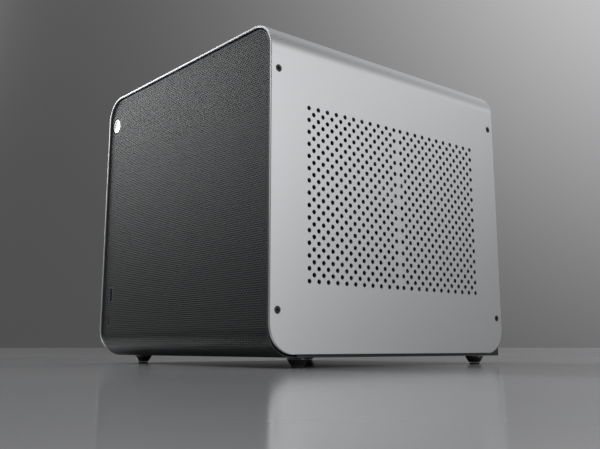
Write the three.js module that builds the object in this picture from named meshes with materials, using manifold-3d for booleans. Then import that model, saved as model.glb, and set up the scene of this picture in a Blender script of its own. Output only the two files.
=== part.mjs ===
// A compact desktop computer tower, built from its separate pieces.
// Millimetres, +Z up, the front faces -Y. The origin is the middle of the footprint, on the desk.
import * as THREE from "three";
import { mergeVertices } from "three/addons/utils/BufferGeometryUtils.js";
import Module from "manifold-3d";

const wasm = await Module();
wasm.setup();

// ---------- driving dimensions ----------
const WIDTH = 280; // outer cover, wall to wall
const DEPTH = 286; // outer cover, front edge to rear edge
const HEIGHT = 273; // desk to the top of the cover
const SHEET = 2; // outer cover
const STEEL = 1.2; // chassis plates
const GAP = 0.4; // between pieces that are fastened together
const BEND = 23; // outer radius of the cover's top bends and of its walls' lower corners
const COVER_BOTTOM = 10; // lower edge of the side walls
const FLOOR_BOTTOM = 7.8; // underside of the chassis floor, where the feet start

const PANEL_RECESS = 1.5; // the front panel sits this far behind the cover's front edge
const PANEL_EDGE_GAP = 1.2; // around the front panel
const PANEL_BEND = 22; // outer radius of the panel's lower bend
const PANEL_FOOT = 3.5; // how far the panel runs back under the case, past its bend
const PANEL_LIP = 2.2; // depth of the panel's folded edge
const PANEL_FRAME = { half: 114, low: 36, high: 258, rim: 8, depth: 7 };
const PEG = { x: 109, low: 46, high: 248, radius: 2.8, length: 7.5 };

const BUTTON = { x: -125.4, z: 243.2, radius: 7.3, ring: 8.7, depth: 3 };
const USB_A = { x: -122, z: 67, width: 5.7, height: 13.1 };
const USB_C = { x: -123.5, z: 42, width: 3.2, height: 8.9 };
const SOCKET_DEPTH = 17;

const SCREW = { y: 135.5, low: 43, high: 232.5, head: 2.8, shank: 1.45, length: 8 };
const FOOT = { x: 122.8, front: -101.7, rear: 120.5, top: 8.6, bottom: 5.6, pad: 1.5 };

const FRONT_WALL_Y = -131; // front face of the chassis front wall
const REAR_PANEL_Y = 139; // rear face of the chassis rear panel
const FLANGE_X = 137.3; // outer face of the chassis flanges
const TRAY = { bottom: 101, front: -62, rear: 137 };
const BOARD = { size: 170, x: -96, rear: 136.5, bottom: 108.9, thick: 1.6 };
const SLOT_X = -88; // plane of the graphics card's board
const IO = { x: -78, width: 158.75, z: 107, height: 44.45 };
const CPU = { x: 8, y: 45 };
const PSU = { x: -20, rear: 137.5, z: 13, width: 150, depth: 140, height: 86, sheet: 1.2 };

const FRONT_FAN = { size: 140, depth: 25, bore: 67, hub: 22, blades: 9, hole: 62.25, x: 0, z: 150 };
const SMALL_FAN = { size: 92, depth: 25, bore: 44, hub: 16, blades: 7, hole: 41.25 };
const PSU_FAN = { size: 120, depth: 25, bore: 57.5, hub: 20, blades: 7, hole: 52.5 };
const REAR_FAN_Z = 212;
const CARD_FAN = { bore: 45, hub: 15, blades: 9, depth: 20 };

// ---------- finishes ----------
const finish = (color, roughness, metalness) =>
  new THREE.MeshStandardMaterial({ color, roughness, metalness });
const FINISH = {
  anodised: finish(0xb9babd, 0.38, 1),
  blackSheet: finish(0x17181a, 0.5, 0.6),
  mesh: finish(0x1c1d20, 0.45, 0.7),
  blackPlastic: finish(0x131416, 0.55, 0),
  greyPlastic: finish(0x2b2d30, 0.5, 0),
  bright: finish(0xd9dadc, 0.25, 1),
  rubber: finish(0x111111, 0.9, 0),
  zinc: finish(0xa9acae, 0.35, 1),
  board: finish(0x14221b, 0.55, 0),
  fins: finish(0xbfc1c3, 0.35, 1),
  filter: finish(0x202124, 0.9, 0),
  blue: finish(0x1d4fb0, 0.5, 0),
};

// ---------- solids ----------
/** A closed geometry as a solid that can be joined and cut. */
function solid(geometry) {
  const bare = geometry.index ? geometry.toNonIndexed() : geometry.clone();
  bare.deleteAttribute("normal");
  bare.deleteAttribute("uv");
  const merged = mergeVertices(bare, 1e-4);
  const vertProperties = new Float32Array(merged.attributes.position.array);
  const triVerts = new Uint32Array(merged.index.array);
  return new wasm.Manifold(new wasm.Mesh({ numProp: 3, vertProperties, triVerts }));
}

/** A solid back as a geometry with flat-shaded faces. */
function geometryOf(body) {
  const made = body.getMesh();
  const geometry = new THREE.BufferGeometry();
  geometry.setAttribute("position", new THREE.BufferAttribute(made.vertProperties, 3));
  geometry.setIndex(new THREE.BufferAttribute(made.triVerts, 1));
  geometry.computeVertexNormals();
  return geometry;
}

/** A box between two opposite corners. */
function block([x0, y0, z0], [x1, y1, z1]) {
  const geometry = new THREE.BoxGeometry(x1 - x0, y1 - y0, z1 - z0);
  geometry.translate((x0 + x1) / 2, (y0 + y1) / 2, (z0 + z1) / 2);
  return solid(geometry);
}

// A profile's x and y become: Y and Z along X, X and Z along Y, X and Y along Z.
const ALONG = {
  x: new THREE.Matrix4().set(0, 0, 1, 0, 1, 0, 0, 0, 0, 1, 0, 0, 0, 0, 0, 1),
  y: new THREE.Matrix4().makeRotationX(Math.PI / 2),
  z: new THREE.Matrix4(),
};

/** A flat outline drawn out along an axis, from one place to another. */
function prism(axis, outline, from, to, curveSegments = 5) {
  const options = { depth: to - from, bevelEnabled: false, curveSegments };
  const geometry = new THREE.ExtrudeGeometry(outline, options);
  geometry.translate(0, 0, axis === "y" ? -to : from);
  geometry.applyMatrix4(ALONG[axis]);
  return solid(geometry);
}

/** A round bar along an axis, or a cone where its two ends differ. */
function rod(axis, radius, from, to, [u, v] = [0, 0], sides = 16, endRadius = radius) {
  const geometry = new THREE.CylinderGeometry(endRadius, radius, to - from, sides);
  geometry.rotateX(Math.PI / 2);
  geometry.translate(u, v, (from + to) / 2);
  if (axis === "y") geometry.applyMatrix4(new THREE.Matrix4().makeScale(1, 1, -1));
  if (axis === "y") geometry.index.array.reverse();
  geometry.applyMatrix4(ALONG[axis]);
  return solid(geometry);
}

/** An outline through points. */
const outlineOf = (points) => new THREE.Shape(points.map(([u, v]) => new THREE.Vector2(u, v)));

/** A rectangle with its own radius at the two lower and the two upper corners. */
function roundedOutline(left, right, low, high, lowRadius, highRadius) {
  const shape = new THREE.Shape();
  shape.moveTo(left + lowRadius, low);
  shape.lineTo(right - lowRadius, low);
  if (lowRadius) shape.absarc(right - lowRadius, low + lowRadius, lowRadius, -Math.PI / 2, 0);
  shape.lineTo(right, high - highRadius);
  if (highRadius) shape.absarc(right - highRadius, high - highRadius, highRadius, 0, Math.PI / 2);
  shape.lineTo(left + highRadius, high);
  if (highRadius) shape.absarc(left + highRadius, high - highRadius, highRadius, Math.PI / 2, Math.PI);
  shape.lineTo(left, low + lowRadius);
  if (lowRadius) shape.absarc(left + lowRadius, low + lowRadius, lowRadius, Math.PI, 1.5 * Math.PI);
  return shape;
}

const union = (bodies) => bodies.reduce((all, body) => all.add(body));
const cut = (body, tools) => tools.reduce((left, tool) => left.subtract(tool), body);

const tower = new THREE.Group();

/** Adds one named piece to a group. */
function piece(name, body, material, group = tower) {
  const mesh = new THREE.Mesh(geometryOf(body), material);
  mesh.name = name;
  group.add(mesh);
  return mesh;
}

/** A group placed in the tower, turned about X, then Y, then Z. */
function placed(position, rotation = [0, 0, 0]) {
  const group = new THREE.Group();
  group.position.set(...position);
  group.rotation.set(...rotation);
  tower.add(group);
  return group;
}

// ---------- outer cover and its screws ----------
const SIDES = [-1, 1];
const SCREW_PLACES = SIDES.flatMap((side) =>
  SIDES.flatMap((end) => [SCREW.high, SCREW.low].map((z) => ({ side, y: end * SCREW.y, z }))),
);

/** One bent sheet, the two side walls and the top, with countersunk screw holes. */
function outerCover() {
  const half = WIDTH / 2;
  const base = COVER_BOTTOM;
  const outer = prism("y", roundedOutline(-half, half, base, HEIGHT, 0, BEND), -DEPTH / 2, DEPTH / 2);
  const hollow = roundedOutline(-half + SHEET, half - SHEET, base - 1, HEIGHT - SHEET, 0, BEND - SHEET);
  const walls = prism("x", roundedOutline(-DEPTH / 2, DEPTH / 2, base, HEIGHT, BEND, 0), -half, half);
  const holes = SCREW_PLACES.map(({ side, y, z }) => {
    const mouth = SCREW.head + 0.35;
    const throat = SCREW.shank + 0.35;
    const faceX = side * half;
    const deepX = faceX - side * 1.9;
    const ends = side > 0 ? [deepX, faceX, throat, mouth] : [faceX, deepX, mouth, throat];
    const sink = rod("x", ends[2], ends[0], ends[1], [y, z], 10, ends[3]);
    const inner = faceX - side * (SHEET + 1);
    return sink.add(rod("x", throat, Math.min(faceX, inner), Math.max(faceX, inner), [y, z], 10));
  });
  return cut(outer.intersect(walls), [prism("y", hollow, -DEPTH, DEPTH), ...holes]);
}

/** A countersunk screw with a hexagon socket, its head's face at z = 0 and its shank below. */
function coverScrew() {
  const head = rod("z", SCREW.shank, -1.7, 0, [0, 0], 12, SCREW.head);
  const shank = rod("z", SCREW.shank, -SCREW.length, -1.6, [0, 0], 12);
  return head.add(shank).subtract(rod("z", 1.15, -1.2, 1, [0, 0], 6));
}

piece("outer_cover", outerCover(), FINISH.anodised);
SCREW_PLACES.forEach(({ side, y, z }, i) => {
  const seat = placed([side * (WIDTH / 2 - 0.1), y, z], [0, (side * Math.PI) / 2, 0]);
  piece(`cover_screw_${i + 1}`, coverScrew(), FINISH.blackSheet, seat);
});

// ---------- chassis ----------
const PANEL_FACE = -DEPTH / 2 + PANEL_RECESS;
const PANEL_HALF = WIDTH / 2 - SHEET - PANEL_EDGE_GAP;
const PANEL_TOP = HEIGHT - SHEET - PANEL_EDGE_GAP;
const PANEL_CORNER = BEND - SHEET - PANEL_EDGE_GAP;
const BEND_Y = PANEL_FACE + PANEL_BEND; // axis of the panel's lower bend
const BEND_Z = FLOOR_BOTTOM + PANEL_BEND;
const FLOOR_TOP = FLOOR_BOTTOM + STEEL;
const FLOOR_FRONT = BEND_Y + PANEL_FOOT + 1.5;
const FLOOR_REAR = REAR_PANEL_Y - STEEL - GAP;
const FLANGE_IN = FLANGE_X - STEEL;
const PSU_MIDDLE = [PSU.x + PSU.width / 2, PSU.rear - PSU.depth / 2];

/** Cutters for the air slots below the power supply's fan, in a round field, from one height to another. */
function airSlots(halfSlot, low, high) {
  const [x, y] = PSU_MIDDLE;
  return Array.from({ length: 9 }, (_, i) => {
    const offset = (i - 4) * 12;
    const reach = Math.sqrt(57 ** 2 - offset ** 2);
    return block([x - reach, y + offset - halfSlot, low], [x + reach, y + offset + halfSlot, high]);
  });
}

/** The floor, folded up along both sides, with air slots below the power supply's fan. */
function chassisFloor() {
  const plate = block([-FLANGE_X, FLOOR_FRONT, FLOOR_BOTTOM], [FLANGE_X, FLOOR_REAR, FLOOR_TOP]);
  const flanges = SIDES.map((side) => {
    const xs = [side * FLANGE_IN, side * FLANGE_X].sort((a, b) => a - b);
    return block([xs[0], FLOOR_FRONT, FLOOR_BOTTOM], [xs[1], FLOOR_REAR, 30]);
  });
  return cut(union([plate, ...flanges]), airSlots(3, 0, 20));
}

/** The front wall: fan opening, peg holes, socket and switch openings, stepped back over the panel's foot. */
function chassisFrontWall() {
  const front = FRONT_WALL_Y;
  const back = front + STEEL;
  const step = 24;
  const footY = FLOOR_FRONT + 2;
  const profile = outlineOf([
    [front, 264],
    [front, step - STEEL],
    [footY - STEEL, step - STEEL],
    [footY - STEEL, FLOOR_TOP + GAP],
    [footY, FLOOR_TOP + GAP],
    [footY, step],
    [back, step],
    [back, 264],
  ]);
  const web = prism("x", profile, -FLANGE_IN + GAP, FLANGE_IN - GAP);
  const corners = prism("y", roundedOutline(-FLANGE_X, FLANGE_X, 0, 264, 0, 15), -150, 0);
  const flanges = SIDES.map((side) => {
    const xs = [side * FLANGE_IN, side * FLANGE_X].sort((a, b) => a - b);
    const strip = block([xs[0], front - 7.9, 34], [xs[1], back, 246]);
    const root = block([Math.min(xs[0], side * 130), front, 34], [Math.max(xs[1], side * 130), back, 246]);
    const lowHole = rod("x", SCREW.shank + 0.35, xs[0] - 1, xs[1] + 1, [-SCREW.y, SCREW.low], 12);
    const highHole = rod("x", SCREW.shank + 0.35, xs[0] - 1, xs[1] + 1, [-SCREW.y, SCREW.high], 12);
    return cut(strip.add(root), [lowHole, highHole]);
  });
  const pegHoles = SIDES.flatMap((side) =>
    [PEG.low, PEG.high].map((z) => rod("y", PEG.radius + 0.5, front - 1, back + 1, [side * PEG.x, z], 12)),
  );
  const opening = rod("y", FRONT_FAN.bore, front - 1, back + 1, [FRONT_FAN.x, FRONT_FAN.z], 28);
  const switchHole = rod("y", BUTTON.ring - 0.9, front - 1, back + 1, [BUTTON.x, BUTTON.z], 16);
  const sockets = [USB_A, USB_C].map(({ x, z, width, height }) => {
    const reach = [width / 2 + 0.8, height / 2 + 0.8];
    return block([x - reach[0], front - 1, z - reach[1]], [x + reach[0], back + 1, z + reach[1]]);
  });
  return cut(union([web.intersect(corners), ...flanges]), [...pegHoles, opening, switchHole, ...sockets]);
}

/** The rear panel: connector window, card window and shelf, fan opening, power supply window. */
function chassisRearPanel() {
  const back = REAR_PANEL_Y;
  const front = back - STEEL;
  const web = prism("y", roundedOutline(-FLANGE_X, FLANGE_X, FLOOR_BOTTOM, 269, 0, 18), front, back);
  const flanges = SIDES.map((side) => {
    const xs = [side * FLANGE_IN, side * FLANGE_X].sort((a, b) => a - b);
    const strip = block([xs[0], 124, 34], [xs[1], back, 246]);
    const holes = [SCREW.low, SCREW.high].map((z) =>
      rod("x", SCREW.shank + 0.35, xs[0] - 1, xs[1] + 1, [SCREW.y, z], 12),
    );
    return cut(strip, holes);
  });
  const shelf = block([SLOT_X - 33, front, 218.2], [SLOT_X + 8, back + 3.6, 219.4]);
  const io = block([IO.x, 100, IO.z], [IO.x + IO.width, 150, IO.z + IO.height]);
  const cardWindow = block([SLOT_X - 30, 100, 114], [SLOT_X + 5, 150, 217]);
  const tabSlit = block([SLOT_X - 32, 100, 219.4], [SLOT_X + 7, 150, 222.4]);
  const fan = rod("y", SMALL_FAN.bore, front - 1, back + 1, [CPU.x, REAR_FAN_Z], 24);
  const psu = block([PSU.x + 4, 100, PSU.z + 4], [PSU.x + PSU.width - 4, 150, PSU.z + PSU.height - 4]);
  const fanHoles = cornerPlaces(SMALL_FAN.hole).map(([u, v]) =>
    rod("y", 2.2, front - 1, back + 1, [CPU.x + u, REAR_FAN_Z + v], 10),
  );
  return cut(union([web, ...flanges]), [io, cardWindow, tabSlit, fan, psu, ...fanHoles]).add(shelf);
}

/** The four corners of a square pattern. */
function cornerPlaces(reach) {
  return [
    [-reach, -reach],
    [reach, -reach],
    [-reach, reach],
    [reach, reach],
  ];
}

const BOARD_MIDDLE = [BOARD.x + BOARD.size / 2, BOARD.rear - BOARD.size / 2];
const BOARD_TOP = BOARD.bottom + BOARD.thick;

/** The tray that bridges the power supply, with its stand-offs and a cable opening. */
function motherboardTray() {
  const top = TRAY.bottom + STEEL;
  const plate = block([-134, TRAY.front, TRAY.bottom], [134, TRAY.rear, top]);
  const legs = SIDES.map((side) => {
    const xs = [side * 134, side * (134 - STEEL)].sort((a, b) => a - b);
    return block([xs[0], 5, FLOOR_TOP + GAP], [xs[1], 120, top]);
  });
  const standoffs = cornerPlaces(77.5).map(([u, v]) => {
    const at = [BOARD_MIDDLE[0] + u, BOARD_MIDDLE[1] + v];
    return rod("z", 2.6, TRAY.bottom, BOARD.bottom - GAP, at, 6);
  });
  return union([plate, ...legs, ...standoffs]).subtract(block([84, -55, 90], [124, -20, 110]));
}

/** An upright plate on the floor that carries the solid-state drive. */
function driveBracket() {
  const plate = block([-134.6, -111, FLOOR_TOP + GAP], [-133.4, -14, 99]);
  return plate.add(block([-134.6, -111, FLOOR_TOP + GAP], [-118, -14, FLOOR_TOP + GAP + STEEL]));
}

piece("chassis_floor", chassisFloor(), FINISH.blackSheet);
piece("chassis_front_wall", chassisFrontWall(), FINISH.blackSheet);
piece("chassis_rear_panel", chassisRearPanel(), FINISH.blackSheet);
piece("motherboard_tray", motherboardTray(), FINISH.blackSheet);
piece("drive_bracket", driveBracket(), FINISH.blackSheet);

// ---------- feet ----------
/** A tapered foot with a short straight rim under the floor. */
function foot() {
  const top = FLOOR_BOTTOM - GAP;
  const flare = rod("z", FOOT.bottom, FOOT.pad, 5.6, [0, 0], 16, FOOT.top - 0.6);
  return union([flare, rod("z", FOOT.top, 5.5, top, [0, 0], 16)]);
}

SIDES.forEach((side) => {
  const name = side < 0 ? "left" : "right";
  [FOOT.front, FOOT.rear].forEach((y) => {
    const end = y < 0 ? "front" : "rear";
    const corner = placed([side * FOOT.x, y, 0]);
    piece(`foot_${end}_${name}`, foot(), FINISH.blackPlastic, corner);
    const pad = rod("z", FOOT.bottom - 0.8, 0, FOOT.pad - GAP, [0, 0], 12);
    piece(`foot_pad_${end}_${name}`, pad, FINISH.rubber, corner);
  });
});

// ---------- front panel ----------
/** The perforated front sheet: folded edges, lower end bent under, openings for button and sockets. */
function frontMeshPanel() {
  const bendPoints = (radius, from, to) =>
    Array.from({ length: 9 }, (_, i) => {
      const angle = from + ((to - from) * i) / 8;
      return [BEND_Y + radius * Math.cos(angle), BEND_Z + radius * Math.sin(angle)];
    });
  const footY = BEND_Y + PANEL_FOOT;
  const profile = outlineOf([
    [PANEL_FACE, PANEL_TOP],
    ...bendPoints(PANEL_BEND, Math.PI, 1.5 * Math.PI),
    [footY, FLOOR_BOTTOM],
    [footY, FLOOR_TOP],
    ...bendPoints(PANEL_BEND - STEEL, 1.5 * Math.PI, Math.PI),
    [PANEL_FACE + STEEL, PANEL_TOP],
  ]);
  const face = roundedOutline(-PANEL_HALF, PANEL_HALF, 0, PANEL_TOP, 0, PANEL_CORNER);
  const sheet = prism("x", profile, -PANEL_HALF, PANEL_HALF).intersect(prism("y", face, -150, 0));
  const rim = roundedOutline(-PANEL_HALF, PANEL_HALF, BEND_Z, PANEL_TOP, 0, PANEL_CORNER);
  const inside = [-PANEL_HALF + STEEL, PANEL_HALF - STEEL, 0, PANEL_TOP - STEEL];
  const inner = roundedOutline(...inside, 0, PANEL_CORNER - STEEL);
  const lip = prism("y", rim, PANEL_FACE, PANEL_FACE + PANEL_LIP);
  const folded = sheet.add(lip.subtract(prism("y", inner, PANEL_FACE - 1, 0)));
  const button = rod("y", BUTTON.ring + 0.4, -150, -130, [BUTTON.x, BUTTON.z], 24);
  const sockets = [USB_A, USB_C].map(({ x, z, width, height }) => {
    const reach = [width / 2 + 0.4, height / 2 + 0.4];
    return block([x - reach[0], -150, z - reach[1]], [x + reach[0], -130, z + reach[1]]);
  });
  return cut(folded, [button, ...sockets]);
}

/** The frame behind the sheet, with four push pegs. */
function frontPanelFrame() {
  const { half, low, high, rim, depth } = PANEL_FRAME;
  const front = PANEL_FACE + STEEL + GAP;
  const back = front + depth;
  const ring = prism("y", roundedOutline(-half, half, low, high, 6, 6), front, back, 3);
  const hole = roundedOutline(-half + rim, half - rim, low + rim, high - rim, 0, 0);
  const crossbar = block([-half + 2, front + 4.5, 146], [half - 2, back, 151]);
  const pegs = SIDES.flatMap((side) =>
    [PEG.low, PEG.high].map((z) => rod("y", PEG.radius, back - 1, back + PEG.length, [side * PEG.x, z], 10)),
  );
  return union([ring.subtract(prism("y", hole, -150, 0)), crossbar, ...pegs]);
}

/** The filter sheet in the frame. */
function dustFilter() {
  const { half, low, high, rim } = PANEL_FRAME;
  const inset = rim + GAP;
  const front = PANEL_FACE + STEEL + GAP + 1.5;
  return block([-half + inset, front, low + inset], [half - inset, front + 1.5, high - inset]);
}

piece("front_mesh_panel", frontMeshPanel(), FINISH.mesh);
piece("front_panel_frame", frontPanelFrame(), FINISH.blackPlastic);
piece("dust_filter", dustFilter(), FINISH.filter);

// ---------- power switch and front sockets ----------
/** The switch body: a round ring in the front and a barrel through the front wall. */
function powerSwitchBody() {
  const front = PANEL_FACE + 0.2;
  const at = [BUTTON.x, BUTTON.z];
  const ring = rod("y", BUTTON.ring, front, FRONT_WALL_Y - GAP, at, 24);
  const barrel = rod("y", BUTTON.ring - 1.4, FRONT_WALL_Y - 1, -118, at, 16);
  return ring.add(barrel).subtract(rod("y", BUTTON.radius + 0.35, front - 1, front + 5.5, at, 20));
}

/** A metal socket shell with its tongue, open to the front. */
function socket({ x, z, width, height }, wall, tongue) {
  const front = PANEL_FACE + 0.1;
  const back = front + SOCKET_DEPTH;
  const w = width / 2;
  const h = height / 2;
  const shell = block([x - w, front, z - h], [x + w, back, z + h]);
  const cavity = block([x - w + wall, front - 1, z - h + wall], [x + w - wall, front + 9, z + h - wall]);
  const bar = block([x - tongue / 2, front + 1.5, z - h + 1.6], [x + tongue / 2, front + 10, z + h - 1.6]);
  return shell.subtract(cavity).add(bar);
}

/** The small board that carries both sockets, with two spacers to the front wall. */
function frontSocketBoard() {
  const front = PANEL_FACE + 0.1 + SOCKET_DEPTH + GAP;
  const plate = block([-134, front, 30], [-112, front + 1.6, 84]);
  const spacers = [35, 80].map((z) => rod("y", 2.2, FRONT_WALL_Y + STEEL + GAP, front + 0.5, [-116, z], 8));
  return union([plate, ...spacers]);
}

piece("power_switch_body", powerSwitchBody(), FINISH.blackPlastic);
const BUTTON_FACE = PANEL_FACE + 0.1;
const buttonCap = rod("y", BUTTON.radius, BUTTON_FACE, BUTTON_FACE + BUTTON.depth, [BUTTON.x, BUTTON.z], 20);
piece("power_button", buttonCap, FINISH.bright);
piece("usb_a_socket", socket(USB_A, 0.45, 2), FINISH.blue);
piece("usb_c_socket", socket(USB_C, 0.35, 0.8), FINISH.zinc);
piece("front_socket_board", frontSocketBoard(), FINISH.board);

// ---------- fans ----------
/** A square fan frame along +Z, its motor seat and struts at z = 0. */
function fanFrame({ size, depth, bore, hub, hole }) {
  const half = size / 2;
  const frame = block([-half, -half, 0], [half, half, depth]);
  const holes = cornerPlaces(hole).map((at) => rod("z", 2.2, -1, depth + 1, at, 6));
  const open = cut(frame, [rod("z", bore, -1, depth + 1, [0, 0], 24), ...holes]);
  const struts = [0, 1].map((turn) => {
    const bar = new THREE.BoxGeometry(2 * bore + 2, 4, 3);
    bar.translate(0, 0, 1.5);
    bar.rotateZ(((2 * turn + 1) * Math.PI) / 4);
    return solid(bar);
  });
  return union([open, rod("z", hub, 0, 3, [0, 0], 12), ...struts]);
}

/** A fan rotor along +Z: a hub with pitched blades, clear of the motor seat. */
function fanRotor({ bore, hub, blades, depth }) {
  const chord = Math.min(depth * 1.05, bore * 0.46);
  const pitch = 0.72;
  const tip = Math.sqrt((bore - 1.2) ** 2 - ((chord * Math.cos(pitch)) / 2 + 1) ** 2);
  const rise = (depth + 3) / 2 + 0.3;
  const vanes = Array.from({ length: blades }, (_, i) => {
    const vane = new THREE.BoxGeometry(tip - hub + 2, chord, 1.6);
    vane.rotateX(pitch);
    vane.translate((tip + hub - 2) / 2, 0, rise);
    vane.rotateZ((i * 2 * Math.PI) / blades);
    return solid(vane);
  });
  return union([rod("z", hub, 3.6, depth - 0.8, [0, 0], 14), ...vanes]);
}

/** Adds a whole fan, frame and rotor, that blows along the group's +Z. */
function fan(name, spec, group) {
  piece(`${name}_frame`, fanFrame(spec), FINISH.blackPlastic, group);
  piece(`${name}_rotor`, fanRotor(spec), FINISH.greyPlastic, group);
}

const FACING_REAR = [-Math.PI / 2, 0, 0]; // turns a fan's +Z to +Y
const wallBack = FRONT_WALL_Y + STEEL + GAP;
fan("front_fan", FRONT_FAN, placed([FRONT_FAN.x, wallBack, FRONT_FAN.z], FACING_REAR));
const rearFanY = REAR_PANEL_Y - STEEL - GAP - SMALL_FAN.depth;
fan("rear_fan", SMALL_FAN, placed([CPU.x, rearFanY, REAR_FAN_Z], FACING_REAR));

/** A finger guard of rings and crossed bars, flat in XY with its back at z = 0. */
function fingerGuard(reach, hole) {
  const rings = [0.3, 0.65, 1].map((share) => {
    const outer = rod("z", reach * share, 0, 1.6, [0, 0], 16);
    return outer.subtract(rod("z", reach * share - 1.6, -1, 3, [0, 0], 16));
  });
  const bars = [0, 1].map((turn) => {
    const bar = new THREE.BoxGeometry(2 * hole * Math.SQRT2, 1.6, 1.6);
    bar.translate(0, 0, 0.8);
    bar.rotateZ(((2 * turn + 1) * Math.PI) / 4);
    return solid(bar);
  });
  const eyes = cornerPlaces(hole).map((at) => rod("z", 3.4, 0, 1.6, at, 8));
  return union([...rings, ...bars, ...eyes]);
}

const guardSeat = placed([CPU.x, REAR_PANEL_Y + GAP, REAR_FAN_Z], FACING_REAR);
piece("rear_fan_guard", fingerGuard(SMALL_FAN.bore, SMALL_FAN.hole), FINISH.bright, guardSeat);

// ---------- motherboard, processor, memory ----------
const RAM = { x: -72, length: 133, ys: [-23, -13], bottom: 113, top: 145 };

/** The main board with its soldered sockets, slots and headers. */
function motherboard() {
  const [x0, y0] = [BOARD.x, BOARD.rear - BOARD.size];
  const plate = block([x0, y0, BOARD.bottom], [x0 + BOARD.size, BOARD.rear, BOARD_TOP]);
  const top = (low, high) => block([low[0], low[1], BOARD_TOP - 0.2], [high[0], high[1], high[2]]);
  const cpuSocket = top([CPU.x - 26, CPU.y - 28], [CPU.x + 26, CPU.y + 28, 113.3]);
  const cardSlot = top([SLOT_X - 3.8, 38], [SLOT_X + 3.8, 128, 121.3]);
  const cardGroove = block([SLOT_X - 1.6, 41, 112.5], [SLOT_X + 1.6, 125.5, 130]);
  const memorySlots = RAM.ys.map((y) => top([RAM.x - 5, y - 3.2], [RAM.x + RAM.length + 5, y + 3.2, 117]));
  const grooves = RAM.ys.map((y) =>
    block([RAM.x - 1, y - 1.2, 112.2], [RAM.x + RAM.length + 1, y + 1.2, 130]),
  );
  const mainPower = top([64, -24], [73, 28, 123]);
  const usbHeader = top([-94, -31], [-84, -24, 119]);
  const buttonHeader = top([-79, -32], [-69, -29, 117]);
  const chipset = top([-70, 40], [-35, 75, 118]);
  const headers = [mainPower, usbHeader, buttonHeader];
  const body = union([plate, cpuSocket, cardSlot, ...memorySlots, ...headers, chipset]);
  return cut(body, [cardGroove, ...grooves]);
}

/** A memory stick: chips on both faces, and a thin edge in its slot. */
function memoryStick(y) {
  const edge = block([RAM.x, y - 0.7, RAM.bottom], [RAM.x + RAM.length, y + 0.7, RAM.top]);
  return edge.add(block([RAM.x + 3, y - 1.7, 119], [RAM.x + RAM.length - 3, y + 1.7, RAM.top - 3]));
}

// Connectors of the rear group: left edge, lower edge, width, height, all seen from behind the board's edge.
const PORTS = [
  { x: -74, z: 111.2, width: 17, height: 33 },
  { x: -52, z: 111.2, width: 16, height: 16 },
  { x: -52, z: 130, width: 16, height: 13 },
  { x: -31, z: 111.2, width: 14.5, height: 32 },
  { x: -11, z: 111.2, width: 14.5, height: 32 },
  { x: 9, z: 111.2, width: 16.5, height: 29 },
  { x: 32, z: 111.2, width: 12, height: 34 },
];

/** The rear connectors, standing on one carrier along the board's rear edge. */
function rearPorts() {
  const back = REAR_PANEL_Y;
  const carrier = block([-76, 112, BOARD_TOP + GAP], [46, 118, 140]);
  const boxes = PORTS.map(({ x, z, width, height }) => {
    const shell = block([x, 114, z], [x + width, back, z + height]);
    return shell.subtract(block([x + 1.4, back - 8, z + 1.4], [x + width - 1.4, back + 1, z + height - 1.4]));
  });
  return union([carrier, ...boxes]);
}

/** The stamped shield around the rear connectors. */
function ioShield() {
  const edge = GAP;
  const front = REAR_PANEL_Y - STEEL;
  const low = [IO.x + edge, front, IO.z + edge];
  const plate = block(low, [IO.x + IO.width - edge, front + 0.9, IO.z + IO.height - edge]);
  const windows = PORTS.map(({ x, z, width, height }) =>
    block([x - 0.4, front - 1, z - 0.4], [x + width + 0.4, front + 3, z + height + 0.4]),
  );
  return cut(plate, windows);
}

piece("motherboard", motherboard(), FINISH.board);
const processor = block([CPU.x - 18.7, CPU.y - 18.7, 113.7], [CPU.x + 18.7, CPU.y + 18.7, 117.2]);
piece("processor", processor, FINISH.zinc);
RAM.ys.forEach((y, i) => piece(`memory_stick_${i + 1}`, memoryStick(y), FINISH.blackPlastic));
piece("rear_ports", rearPorts(), FINISH.zinc);
piece("io_shield", ioShield(), FINISH.zinc);

// ---------- processor cooler ----------
const TOWER = { front: 26, rear: 72, low: 138, high: 248, half: 47, spine: 12, fins: 14, fin: 2 };

/** The heatsink: a foot on the processor and a stack of fins on a spine. */
function heatsink() {
  const foot = block([CPU.x - 20, CPU.y - 20, 117.6], [CPU.x + 20, CPU.y + 20, 128]);
  const neckTop = TOWER.low + 1;
  const neck = block([CPU.x - TOWER.spine, CPU.y - 12, 127], [CPU.x + TOWER.spine, CPU.y + 12, neckTop]);
  const pitch = (TOWER.high - TOWER.low - TOWER.fin) / (TOWER.fins - 1);
  const spine = { low: [CPU.x - TOWER.spine, TOWER.front, TOWER.low], wide: CPU.x + TOWER.spine };
  const stack = Array.from({ length: TOWER.fins }, (_, i) => {
    const z = TOWER.low + i * pitch;
    return block([CPU.x - TOWER.half, TOWER.front, z], [CPU.x + TOWER.half, TOWER.rear, z + TOWER.fin]);
  });
  return union([foot, neck, block(spine.low, [spine.wide, TOWER.rear, TOWER.high]), ...stack]);
}

piece("cpu_heatsink", heatsink(), FINISH.fins);
const cpuFanY = TOWER.front - GAP - SMALL_FAN.depth;
fan("cpu_fan", SMALL_FAN, placed([CPU.x, cpuFanY, 200], FACING_REAR));

// ---------- graphics card ----------
const CARD = { front: -20, rear: 134, low: 124, high: 217, left: SLOT_X - 37.5, right: SLOT_X - 1.6 };
const CARD_FAN_AT = [52, 170];

/** The card's board, with its edge down in the slot. */
function cardBoard() {
  const plate = block([SLOT_X - 0.8, CARD.front, 122], [SLOT_X + 0.8, CARD.rear, 219]);
  return plate.add(block([SLOT_X - 0.8, 42, 113], [SLOT_X + 0.8, 124, 123]));
}

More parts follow.
